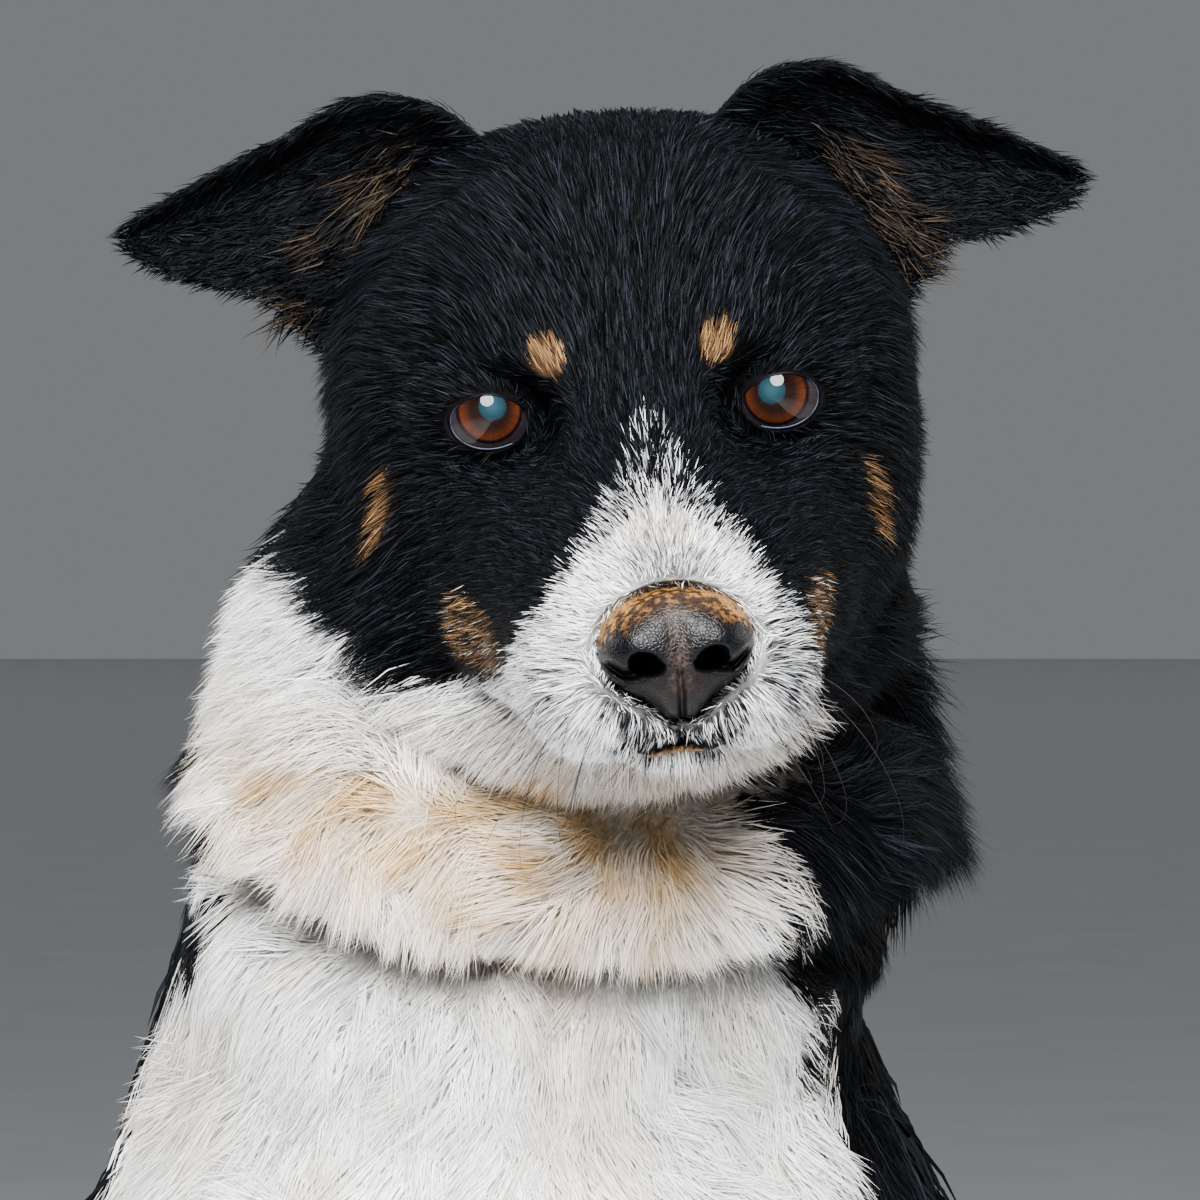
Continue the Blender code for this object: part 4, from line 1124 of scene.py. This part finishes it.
def make_coat(name, slot, root, normal, lie, width, clump, rings, soft, material, line, flare, seed, tint=None):
    """A stretch of coat as one or more pieces, each lock in one colour, darkened towards its root as painted shade
    among the hairs.

    The locks' normals lean towards the skin's by the share `soft`, as light spreads from hair to hair.
    """
    dice = np.random.default_rng(seed)
    along, length, lift, swing = lie
    count = len(root)
    woolly = soft > 0.7
    along = unit(along) + dice.normal(0, 0.07 if woolly else 0.13, (count, 3))
    if woolly:
        along = along + drift(root, 0.045, (61, 62, 63)) * 0.38 + drift(root, 0.016, (64, 65, 66)) * 0.16
    length = length * dice.uniform(0.66, 1.16, count)
    lift = lift * dice.uniform(0.6, 1.35, count)
    width = width * dice.uniform(0.6, 1.3, count)
    points, looks, place, fate = locks(root, normal, along, length, lift, swing, width, clump, rings, dice)
    uneven = dice.normal(0, 0.28 if soft < 0.5 else 0.16, (count, 1, 3))
    looks = unit(looks * (1 - soft) + normal[:, None] * soft + uneven)
    seen = root + (points[:, -1] - root) * 0.6
    colour = blended(seen, dice) if tint is None else tint
    bright = (0.84 + 0.28 * fate[:, 2]) * dice.uniform(0.84, 1.14, count)
    bright = bright * (1 + (0.15 if woolly else 0.10) * waves(root, 0.013, 71))
    # Painted shade: locks rooted at the crease under the collar and in the fold under the jaw are darkened.
    over, shown = crease_height(root - BODY_ORIGIN)
    bright = bright * (1 - 0.5 * hill(over + 0.004, 0.006) * shown)
    bright = bright * (1 - 0.62 * under_jaw(from_head(root)))
    pale = ramp(0.1, 0.4, colour.mean(1))[:, None]
    # Painted shade among the hairs: dark locks fall from 1.15 at the tip to 0.2 at the root, pale ones to 0.40 on the
    # face and to 0.80 in soft coat.
    deep = np.interp(place, (0, 0.3, 1), (0.2, 0.7, 1.15))
    light = np.interp(place, (0, 0.3, 1), (0.80, 0.94, 1.03) if soft > 0.5 else (0.40, 0.88, 1.03))
    shade = deep * (1 - pale) + light * pale
    colours = colour[:, None] * (bright[:, None] * shade)[..., None]
    spot_at = unrolled(root, *line, flare)
    spread = np.zeros((len(place), 2))
    spread[:, 1] = place - 0.5
    spread[1:-1, 0] = np.tile((-0.5, 0, 0.5), rings)
    spread[1:-1, 1] += np.tile((0, 0.12, 0), rings)
    places = np.clip(spot_at[:, None] + spread[None] * SPOKE, 0.0002, 0.9998)
    each = 6 * rings
    pieces = math.ceil(count * each / LARGEST_PIECE)
    order = np.array_split(np.argsort(spot_at[:, 1], kind="stable"), pieces)
    for number, chosen in enumerate(order, 1):
        title = f"coat_{name}_{number}" if pieces > 1 else f"coat_{name}"
        obj = mesh_object(title, points[chosen].reshape(-1, 3), lock_faces(len(chosen), rings))
        obj.data.normals_split_custom_set_from_vertices(looks[chosen].reshape(-1, 3))
        painted(obj, "marking", np.clip(colours[chosen].reshape(-1, 3), 0, 1))
        mapped(obj, "OFBake", places[chosen].reshape(-1, 2))
        piece(obj, slot, material)


def roots_on(points, faces, spacing, dice):
    """Roots spread evenly over triangles: one in each equal step of the running sum of their areas."""
    a, b, c = (points[faces[:, k]] for k in range(3))
    area = np.linalg.norm(np.cross(b - a, c - a), axis=1) / 2
    total = np.cumsum(area)
    count = int(total[-1] / spacing**2 * THICKNESS_OF_COAT)
    at = (np.arange(count) + dice.uniform(0, 1, count)) * total[-1] / count
    chosen = np.minimum(np.searchsorted(total, at), len(faces) - 1)
    u, v = dice.uniform(0, 1, (2, count))
    over = u + v > 1
    u, v = np.where(over, 1 - u, u)[:, None], np.where(over, 1 - v, v)[:, None]
    return a[chosen] + (b - a)[chosen] * u + (c - a)[chosen] * v, chosen


def region_of(points):
    """Which stretch of coat each point belongs to, by name."""
    q = from_head(points)
    head = in_head(q) > 0
    p = points - BODY_ORIGIN
    x, y, z = p.T
    over, _ = crease_height(p)
    side = np.where(x > 0, "left", "right")
    hind = np.char.add("hind_leg_", side)
    fore = np.char.add("foreleg_", side)
    return np.select(
        [
            head & (q[:, 1] > 0.010),
            head & (q[:, 1] > -0.050),
            head,
            (over > -0.002) & (y < -0.060),
            over > -0.002,
            (y > 0.385) & (z < 0.15),
            (np.abs(x) > 0.092) & (z < 0.262) & (y > -0.01),
            (np.abs(x) > 0.036) & (z < 0.262) & (y < 0.052),
            (y < -0.065) & (z > 0.490),
            (y < -0.055) & (z > 0.262),
        ],
        ["muzzle", "face", "skull", "ruff", "nape", "tail", hind, fore, "bib", "chest"],
        "trunk",
    )


FACE_LINE = ((0, -0.13, -0.03), (0, 0.11, -0.03))  # in the head's axes; all others are from BODY_ORIGIN
TRUNK_LINE = ((0, -0.10, 0.72), (0, 0.34, 0.06))
# name: spacing, width and clump in mm, rings, softness, slot, the line it is unrolled round, flare
STRETCHES = {
    "muzzle": (0.66, 0.25, 2.4, 1, 0.45, "white_coat", FACE_LINE, 1),
    "face": (0.78, 0.30, 3.2, 1, 0.40, "black_coat", FACE_LINE, 1),
    "skull": (1.45, 0.80, 6.0, 1, 0.40, "black_coat", FACE_LINE, 1),
    "ruff": (0.84, 0.34, 9.0, 1, 0.75, "white_coat", TRUNK_LINE, 0),
    "nape": (3.2, 1.7, 12.0, 2, 0.45, "black_coat", TRUNK_LINE, 0),
    "bib": (1.02, 0.38, 9.0, 1, 0.75, "white_coat", TRUNK_LINE, 0),
    "chest": (3.4, 1.7, 13.0, 2, 0.60, "white_coat", TRUNK_LINE, 0),
    "trunk": (5.3, 2.6, 14.0, 2, 0.45, "black_coat", TRUNK_LINE, 0),
    "tail": (3.6, 1.9, 13.0, 2, 0.45, "black_coat", ((-0.02, 0.36, 0.10), (0.21, 0.50, 0.03)), 0),
    "foreleg_left": (3.0, 1.5, 7.0, 1, 0.50, "white_coat", ((0.09, -0.03, 0.30), (0.09, -0.07, 0.0)), 0),
    "foreleg_right": (3.0, 1.5, 7.0, 1, 0.50, "white_coat", ((-0.09, -0.03, 0.30), (-0.09, -0.07, 0.0)), 0),
    "hind_leg_left": (3.9, 2.2, 9.0, 1, 0.45, "black_coat", ((0.13, 0.30, 0.09), (0.13, 0.03, 0.05)), 0),
    "hind_leg_right": (3.9, 2.2, 9.0, 1, 0.45, "black_coat", ((-0.13, 0.30, 0.09), (-0.13, 0.03, 0.05)), 0),
}


def bare(points):
    """True where no hair grows: between the lids, under the nose leather, on the lips and under the feet."""
    q = from_head(points)
    x, a, b = q.T
    none = np.zeros(len(points), bool)
    for side in (1, -1):
        none |= (eye_far(q, side) < 1.06) & (a > -0.012)
    _, out = nose_place(q)
    none |= (out < 0.95) & (a > 0.075)
    lips = np.abs(b - mouth_line(x, a)) < np.where(a > 0.08, 0.0014, 0.0010)
    none |= lips & (a > 0.020) & (b < -0.04)
    return none | (points[:, 2] < 0.004)


def trimmed(root, along, length, lift):
    """Locks shortened where they would hang over the crease or the lips, and puffed out over crease and throat."""
    p = root - BODY_ORIGIN
    over, shown = crease_height(p)
    most = np.maximum((over + 0.001) / 0.72, 0.008)
    above = (over > -0.003) & (shown > 0.3)
    length = np.where(above, np.minimum(length, most), length)
    lift = lift + np.where(above, math.radians(16) * hill(over, 0.018), 0) * ramp(0.095, 0.055, np.abs(p[:, 0]))
    lift = np.where((over < 0) & (shown > 0.3), lift * (1 - 0.6 * hill(over, 0.02)), lift)
    shoulder = ramp(0.055, 0.075, np.abs(p[:, 0])) * hill(over + 0.012, 0.022) * (over < 0)
    length, lift = length * (1 - 0.5 * shoulder), lift * (1 - 0.7 * shoulder)
    q = from_head(root)
    front = jaw_front(q)
    rim = (front > -0.004) & (q[:, 2] < -0.056) & (q[:, 1] > -0.060)
    length = np.where(rim, np.minimum(length, np.maximum(front + 0.007, 0.008) / 0.8), length)
    lift = np.where(rim, lift + math.radians(12) * hill(front, 0.012), lift)
    fold = under_jaw(q) * (front < -0.002)
    lift = lift * (1 - 0.75 * fold)
    length = length * (1 - 0.4 * fold)
    for side in (1, -1):
        length = length * (1 - 0.25 * ramp(1.6, 1.1, eye_far(q, side)) * (q[:, 1] > -0.014))
    off = q[:, 2] - mouth_line(q[:, 0], q[:, 1])
    down = (along @ HEAD_TURN)[:, 2] < -0.25
    hangs = (off > 0) & (off < 0.012) & (q[:, 1] > 0.02) & (q[:, 2] < -0.03) & (in_head(q) > 0) & down
    length = length * (1 - 0.35 * hangs * (np.abs(q[:, 0]) < 0.018))
    return np.where(hangs, np.minimum(length, off + 0.0016), length), lift


def make_body_coat(points, faces, material):
    """Grows every stretch of coat on the skin but the ears'."""
    normals = normals_of(points, faces)
    names = region_of(points[faces].mean(1))
    for seed, (name, row) in enumerate(STRETCHES.items(), 100):
        spacing, width, clump, rings, soft, slot, line, flare = row
        dice = np.random.default_rng(seed)
        own = faces[names == name]
        root, chosen = roots_on(points, own, spacing * MM, dice)
        keep = ~bare(root)
        root, chosen = root[keep], chosen[keep]
        normal = unit(normals[own[chosen]].mean(1))
        along, length, lift, swing = combed(root)
        length, lift = trimmed(root, along, length, lift)
        ends = [on_head(p) if line is FACE_LINE else BODY_ORIGIN + p for p in np.array(line)]
        lie = (along, length, lift, swing * length / np.maximum(length, 0.03))
        make_coat(name, slot, root, normal, lie, width * MM, clump * MM, rings, soft, material, ends, flare, seed)


def make_ear_coat(side, word, material):
    """Grows the ear's fur: sleek and black, with tan and pale tufts inside that hang from its root."""
    dice = np.random.default_rng(40 + side)
    front, _ = ear_grid(side)
    rows, columns, _ = front.shape
    points, faces = ear_skin(side)
    faces = faces[(faces < rows * columns * 2).all(1)]
    normals = normals_of(points, faces)
    root, chosen = roots_on(points, faces, 0.95 * MM, dice)
    corner = faces[chosen][:, 0]
    row, column = corner // (2 * columns), corner % (2 * columns)
    inside = column < columns
    along = row / (rows - 1)
    across = np.where(inside, column, 2 * columns - 1 - column) / (columns - 1)
    normal = unit(normals[faces[chosen]].mean(1))
    tuft = np.zeros(len(root))
    for at, off, long, wide in EAR_TUFTS[side]:
        far = np.hypot((along - at) / long, (across - off) / wide)
        tuft = np.maximum(tuft, ramp(1.7, 0.4, far) * inside)
    outwards = HEAD_TURN @ np.array((side * 1.0, -0.1, -0.25))
    fringe = HEAD_TURN @ np.array((side * 0.25, 0.1, -0.9))
    hang = HEAD_TURN @ np.array((side * 0.55, 0.2, -0.9))
    way = outwards + (inside & (across > 0.8))[:, None] * 0.5 * fringe + tuft[:, None] * 1.4 * hang
    way = unit(way) + dice.normal(0, 0.12, (len(root), 1)) * fringe
    length = np.where(inside, 8.0, 11.0) * MM * (1 - 0.3 * along) + tuft * 10 * MM
    lift = np.radians(np.where(inside, 20.0, 15.0) + 18 * tuft)
    swing = 0.9 * MM + 1.8 * MM * tuft
    chance, pick, deep = dice.uniform(0, 1, (3, len(root)))
    # Black ear locks are darker inside the ear than outside, and the rare much paler ones are painted glints.
    colour = BLACK * (np.where(inside, 0.6, 0.8) + 6 * deep**5)[:, None]
    warm = linear("#453A2F") * (0.12 + 0.75 * pick[:, None] ** 2)
    colour = np.where((tuft > 0.20 + 1.25 * chance)[:, None], warm, colour)
    ends = [on_head((0.02 * side, -0.06, 0.03)), on_head((0.12 * side, -0.06, 0.02))]
    lie = (way, length, lift, swing)
    looks = (0.40 * MM, 3.5 * MM, 1, 0.35, material, ends, 0, 60 + side, colour)
    make_coat(f"ear_{word}", "black_coat", root, normal, lie, *looks)


# ---- Eyes and lids ----


def gaze(side):
    """The way from an eye to what the dog looks at, in the head's axes, and two axes square to it."""
    ahead = unit((HEAD + CAMERA_FROM_HEAD - on_head(EYE_CENTRES[side])) @ HEAD_TURN)
    ahead = unit(ahead + np.array((-0.075 * side, 0, 0.03 - 0.04 * side)))
    right = unit(np.cross(ahead, (0, 0, 1)))
    return ahead, right, np.cross(right, ahead)


IRIS = math.asin(0.0076 / EYE_RADIUS)  # the iris's and the pupil's edge, as angles at the eye's centre
PUPIL = math.asin(0.0032 / EYE_RADIUS)


def make_eye(side, word, material):
    """An eyeball: a sphere with a low bulge for the cornea, of latitude rings round the line of sight."""
    centre = np.array(EYE_CENTRES[side])
    ahead, right, up = gaze(side)
    theta = np.linspace(0.01, np.pi - 0.01, 120)[:, None]
    phi = np.linspace(0, 2 * np.pi, 96, endpoint=False)[None]
    bulge = 0.0007 * np.clip(1 - (theta / (IRIS * 1.08)) ** 2, 0, 1) ** 1.5
    radius = (EYE_RADIUS + bulge)[..., None]
    way = (
        np.cos(theta)[..., None] * ahead
        + np.sin(theta)[..., None] * (np.cos(phi)[..., None] * right + np.sin(phi)[..., None] * up)
    )
    points, faces = closed_grid(on_head(centre + radius * way))
    obj = mesh_object("eye_" + word, points, faces)
    r = unit(from_head(points) - centre)
    angle = np.arccos(np.clip(r @ ahead, -1, 1))
    turn = np.arctan2(r @ up, r @ right)
    height = (r @ up) / math.sin(IRIS)
    colour = tinted(linear("#150C0A"), linear("#3A1B0D"), ramp(PUPIL * 1.3, IRIS * 0.90, angle))
    # Painted shade: the upper part of the iris is darkened, as the upper lid's shadow.
    colour = colour * (1 - 0.75 * ramp(-0.3, 0.6, height))[:, None]
    ring = ramp(IRIS * 0.90, IRIS * 0.99, angle)
    colour = tinted(colour, linear("#090506"), ring)
    colour = tinted(colour, linear("#1E191C"), ramp(IRIS * 1.04, IRIS * 1.12, angle))
    off = r - ahead - right * (-side * 0.055) - up * 0.045
    wide = np.hypot(off @ right, off @ up)
    pupil = (1 - ramp(math.sin(PUPIL) * 0.92, math.sin(PUPIL) * 1.04, wide)) * (angle < IRIS)
    # The pupil's teal-grey is a painted reflection: eye-shine from the back of the eye.
    depth = tinted(linear("#1B3138"), linear("#0F2228"), ramp(0.0, math.sin(PUPIL), wide))
    painted(obj, "marking", tinted(colour, depth, pupil))
    mapped(obj, "iris", np.stack([angle / np.pi, turn / (2 * np.pi) + 0.5], 1))
    piece(obj, "eye", material, "eye_" + word)


def lid_outline(side, t):
    """The opening between the lids as an almond: a flat-topped oval drawn out and down at the inner corner."""
    inner = -np.cos(t) * 0.5 + 0.5
    x = EYE_OPEN[0] * np.cos(t)
    b = EYE_OPEN[1] * np.where(np.sin(t) > 0, np.abs(np.sin(t)) ** 0.9, -np.abs(np.sin(t)) ** 0.95)
    x = x - 0.0012 * inner**6
    b = b - 0.0016 * inner**4 + 0.0004
    return x * side, b


LID_PROFILE = (  # outward from the almond, and above the eyeball, in mm
    (-0.12, -0.40),
    (-0.10, 0.12),
    (0.08, 0.32),
    (0.32, 0.42),
    (0.60, 0.38),
    (0.90, 0.05),
    (1.40, -1.00),
    (0.80, -1.50),
    (0.20, -1.00),
)
LID_SECTIONS = 120


def make_lids(side, word, material):
    """The lids' bare rims: a small rounded profile carried round the almond, resting on the eyeball."""
    centre = np.array(EYE_CENTRES[side])
    x, b = lid_outline(side, np.linspace(0, 2 * np.pi, LID_SECTIONS, endpoint=False))
    dx, db = np.gradient(x), np.gradient(b)
    out = unit(np.stack([db, -dx], 1)) * side
    shift, height = np.array(LID_PROFILE).T * MM
    px = x[:, None] + out[:, 0:1] * shift
    pb = b[:, None] + out[:, 1:2] * shift
    grid = np.stack([px, ball_height(np.hypot(px, pb)) + height + 0.0004 * (pb > 0), pb], -1) + centre
    points, faces = ringed_grid(on_head(grid))
    obj = mesh_object("lid_rim_" + word, points, faces)
    r = from_head(points) - centre
    # A painted sheen: a pale bluish-grey line along the wet inner edge of the lids, at their lower and outer part.
    low = np.maximum(ramp(-0.003, -0.006, r[:, 2]), ramp(0.006, 0.008, r[:, 0] * side))
    wet = np.tile((shift < 0) & (height > 0), LID_SECTIONS)
    painted(obj, "marking", tinted(linear("#060507"), linear("#565E75"), low * wet * 0.7))
    piece(obj, "nose_leather", material)


# ---- Nose, lips, whiskers and claws ----


def nose_hollows(x, b):
    """How deep the nose is let in at (x, b) from its middle, in mm, and how far into a nostril that is.

    Each side has a soft-edged oval hole and a slit that curves out from it, and a bell makes the philtrum.
    """
    side = np.abs(x)
    tall = np.where(b > -3.0, 3.5, 3.1)
    hole = np.hypot((side - 7.4 - 0.35 * (b + 3.0)) / 4.2, (b + 3.0) / tall)
    hole = 1 - ramp(np.where(b > -3.0, 0.25, 0.66), 1.04, hole)
    slit_b = -4.4 - 0.9 * hill(side - 11.5, 3.0) + 2.2 * ramp(12, 17, side)
    slit = hill(b - slit_b, 1.35) * ramp(6, 9, side) * ramp(19, 15, side)
    philtrum = hill(x, 0.8) * ramp(2, -4, b)
    return 9.0 * hole + 4.2 * slit + 1.8 * philtrum * ramp(0, -12, b) + 0.6 * philtrum, np.maximum(hole, slit)


def make_nose():
    """Nose leather: a blunt dome inside its outline, let in at nostrils, slits and philtrum, and swollen between."""
    theta = np.linspace(0.02, np.pi - 0.05, 150)[:, None]
    phi = np.linspace(0, 2 * np.pi, 260, endpoint=False)[None]
    climb = np.degrees(np.arcsin(np.sin(phi)))
    reach = eased(NOSE_RIM, climb.ravel())[:, 0][None]
    out = np.sin(theta) ** 0.74
    x, b = reach * np.cos(phi) * out, reach * np.sin(phi) * out
    forward = np.where(np.cos(theta) > 0, 14.5 - 0.10 * np.maximum(b, 0) - 0.22 * np.maximum(-b - 4, 0), 7.0)
    a = forward * np.sign(np.cos(theta)) * np.abs(np.cos(theta)) ** 0.85
    side = np.abs(x)
    front = ramp(0, 6, a)
    swell = 1.6 * hill(np.hypot(side - 11.5, b - 1.5), 5.5) + 1.0 * hill(np.hypot(side - 4.8, b + 10.0), 3.4)
    swell -= 0.9 * hill(x, 2.6) * hill(b - 3, 7)
    a = a + (swell - nose_hollows(x, b)[0]) * front
    grid = NOSE_MIDDLE + np.stack([x, a, b], -1) * MM @ NOSE_TURN.T
    points, faces = closed_grid(on_head(grid))
    obj = mesh_object("nose_leather", points, faces)
    q, rim = nose_place(from_head(points))
    speckle = waves(points, 0.0016, 51) * 0.6 + waves(points, 0.004, 52) * 0.5
    upper = ramp(-2.5, 2.5, q[:, 2] - 0.12 * np.abs(q[:, 0]))
    corner = 0.07 * hill(np.abs(q[:, 0]) - 12, 5)
    gold = ramp(0.93, 1.00, rim + corner + 0.06 * speckle) * upper
    fleck = upper * ramp(0.50, 0.92, rim) * (0.12 + 0.80 * ramp(-0.1, 0.7, speckle)) * ramp(3, 7, q[:, 2])
    gold = np.clip(gold + 0.8 * fleck, 0, 1)
    colour = tinted(linear("#050608"), linear("#6B4A26"), gold)
    strip = hill(q[:, 0], 2.2) * ramp(-14, -8, q[:, 2]) * ramp(12, 8, q[:, 2]) * (0.45 + 0.3 * speckle)
    colour = tinted(colour, linear("#3A302A"), np.clip(strip, 0, 0.7))
    flesh_tone = hill(np.hypot(np.abs(q[:, 0]) - 4.6, q[:, 2] + 10.0), 3.0) * 0.6
    colour = tinted(colour, linear("#1C1310"), flesh_tone)
    # Painted shade: the nostrils and their slits are painted near-black, darkest deep in the holes.
    _, dark = nose_hollows(q[:, 0], q[:, 2])
    painted(obj, "marking", tinted(colour, linear("#010101"), np.clip(dark * 1.5, 0, 1)))
    piece(obj, "nose_leather", nose_material(), "nose")


def face_profile(x, b, points):
    """The skin's furthest forward place at (x, b) on the head: the a of its nearest point seen from ahead."""
    q = from_head(points)
    q = q[in_head(q) > 0]
    far = np.hypot(q[None, :, 0] - x[:, None], q[None, :, 2] - b[:, None])
    return np.where(far < 0.0022, q[None, :, 1], -1).max(1)


def make_lips(points, material):
    """The lips' bare edge: a thin cord of wet skin let into the line of the mouth, and the crumbly rim below."""
    t = np.linspace(-1, 1, 61)
    x = 0.0225 * t
    b = mouth_line(x, np.full(61, 0.09))
    a = face_profile(x, b - 0.002, points)
    a = np.convolve(np.pad(a, 3, mode="edge"), np.ones(7) / 7, "valid")
    path = on_head(np.stack([x, a - 0.0022, b], 1))
    obj = mesh_object("lip_edge", *swept(path, 0.0013 * (1 - 0.55 * np.abs(t)) + 0.0002, 8))
    painted(obj, "marking", np.broadcast_to(linear("#060506"), (len(obj.data.vertices), 3)))
    piece(obj, "nose_leather", material)
    t = np.linspace(-1, 1, 41)
    x2 = 0.0060 * t - 0.0004
    path = on_head(np.stack([x2, np.interp(x2, x, a) + 0.0004, np.interp(x2, x, b) - 0.0026], 1))
    rough = 1 + 0.35 * waves(path, 0.0018, 71)
    points, faces = swept(path, 0.0013 * np.sqrt(1 - 0.9 * t**2) * rough, 10, 0.8)
    rim = mesh_object("lip_rim", points, faces)
    grain = 0.5 + 0.5 * np.clip(waves(points, 0.0014, 72), -1, 1)
    painted(rim, "marking", tinted(linear("#150D09"), linear("#7C5220"), grain))
    piece(rim, "nose_leather", material)


WHISKERS = (  # root x, b in mm; direction in the head's axes; length in mm; curl in turns
    (17, -44, (0.5, 0.5, -0.7), 52, 0.42),
    (22, -42, (0.7, 0.3, -0.5), 64, 0.30),
    (27, -40, (0.8, 0.2, -0.3), 60, 0.34),
    (19, -50, (0.4, 0.4, -0.9), 46, 0.55),
    (25, -49, (0.6, 0.2, -0.8), 58, 0.38),
    (31, -46, (0.8, 0.0, -0.5), 66, 0.25),
    (22, -56, (0.4, 0.2, -1.0), 40, 0.60),
    (29, -54, (0.6, 0.1, -0.9), 52, 0.40),
    (8, -68, (0.2, 0.3, -1.0), 34, 0.50),
)


def make_whiskers(points, material):
    """Whiskers: hairs 0.2 mm thick at the root that bend down and round under their weight to a fine point."""
    parts = []
    s = np.linspace(0, 1, 24)[:, None]
    for number, (x, b, way, length, curl) in enumerate(WHISKERS):
        for side in (1, -1):
            dice = np.random.default_rng(500 + number * 2 + side)
            at = np.array([side * (x + dice.normal(0, 0.8))]) * MM
            height = np.array([b + dice.normal(0, 0.8)]) * MM
            root = np.array((at[0], face_profile(at, height, points)[0], height[0]))
            way = unit(np.array(way) * (side, 1, 1) + dice.normal(0, 0.12, 3))
            down = unit(np.array((side * 0.15, -0.55, -0.8)) + dice.normal(0, 0.2, 3))
            turn = 2 * np.pi * curl * dice.uniform(0.6, 1.3)
            path = way * np.sin(turn * s) / turn + down * (1 - np.cos(turn * s)) / turn
            path = root + path * (0.85 - 0.15 * side) * length * MM
            parts.append(swept(on_head(path), 0.00010 * (1 - 0.85 * s[:, 0]), 5))
    points, faces = joined(parts)
    obj = mesh_object("whiskers", points, faces)
    painted(obj, "marking", np.broadcast_to(linear("#2B2725"), points.shape))
    piece(obj, "black_coat", material)


CLAW_BEND = 0.95  # radians that a claw turns through


def make_claws(material):
    """Claws: round sections that shrink along an arc, from the middle of each solid claw's root to its tip."""
    parts = []
    nodes = sorted(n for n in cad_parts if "claw" in n)
    s = np.linspace(0, 1, 16)
    for node in nodes:
        low, high = (np.array(corner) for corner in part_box(node))
        radius = (high[0] - low[0]) / 2
        y = high[1] - (high[1] - low[1]) * np.sin(CLAW_BEND * s) / math.sin(CLAW_BEND)
        drop = (high[2] - low[2] - 1.4 * radius) / (1 - math.cos(CLAW_BEND))
        z = high[2] - radius - drop * (1 - np.cos(CLAW_BEND * s))
        path = np.stack([np.full(len(s), (low[0] + high[0]) / 2), y, z], 1)
        parts.append(swept(path, radius * (1 - 0.86 * s**1.6), 12, 1.1))
    obj = mesh_object("claws", *joined(parts))
    piece(obj, "claw_horn", material, *nodes)


# ---- Studio ----


def make_floor():
    """A wide plain disc under the dog."""
    t = np.linspace(0, 2 * np.pi, 96, endpoint=False)
    ring = np.stack([np.cos(t), np.sin(t)], 1)
    radii = np.array((0.0, 0.002, 0.3, 1, 4, 30, 60))[1:, None, None]
    top = np.concatenate([ring * radii, np.zeros((6, 96, 1))], 2)
    under = top[::-1] - (0, 0, 0.01)
    points, faces = closed_grid(np.concatenate([top, under]))
    floor = mesh_object("floor", points, faces)
    floor.data.materials.append(floor_material())


def area_light(name, place, size, power):
    """A round soft light at that place from the head, in metres and watts, turned to the head."""
    light = bpy.data.lights.new(name, "AREA")
    light.shape = "DISK"
    light.size = size
    light.energy = power
    lamp = linked(name, light)
    lamp.location = HEAD + np.array(place)
    lamp.rotation_euler = Vector(-np.array(place)).to_track_quat("-Z", "Y").to_euler()


def make_studio():
    """A large soft key above the lens, a rim from behind at each side, a top light, and pale air all round."""
    area_light("key", (-0.04, -1.25, 0.80), 0.98, 174)
    area_light("top", (0.0, 0.1, 1.9), 1.6, 22)
    area_light("side_left", (1.9, 0.6, 0.5), 1.2, 19)
    area_light("side_right", (-1.9, 0.6, 0.5), 1.2, 26)
    world = bpy.data.worlds.new("studio_air")
    world.use_nodes = True
    world.node_tree.nodes["Background"].inputs["Color"].default_value = (*linear("#DDE0E4"), 1)
    world.node_tree.nodes["Background"].inputs["Strength"].default_value = 0.27
    bpy.context.scene.world = world


def make_camera():
    """A level lens ahead of the face, long enough to keep the head's proportions."""
    lens = bpy.data.cameras.new("camera")
    lens.sensor_width = 36
    lens.lens = 36 * -CAMERA_FROM_HEAD[1] / VIEW_WIDTH
    camera = linked("camera", lens)
    camera.location = HEAD + CAMERA_FROM_HEAD
    camera.rotation_euler = (math.pi / 2, 0, 0)
    bpy.context.scene.camera = camera


def main():
    """Skin first, because the coat, lips and whiskers start from it, then the bare parts and the studio."""
    hair, wet = hair_material(), lip_material()
    points, faces = make_skin()
    make_body_coat(points, faces, hair)
    eye = eye_material()
    for side, word in ((1, "left"), (-1, "right")):
        make_ear_coat(side, word, hair)
        make_eye(side, word, eye)
        make_lids(side, word, hair)
    make_nose()
    make_lips(points, wet)
    make_whiskers(points, hair)
    make_claws(claw_material())
    make_floor()
    make_studio()
    make_camera()


main()
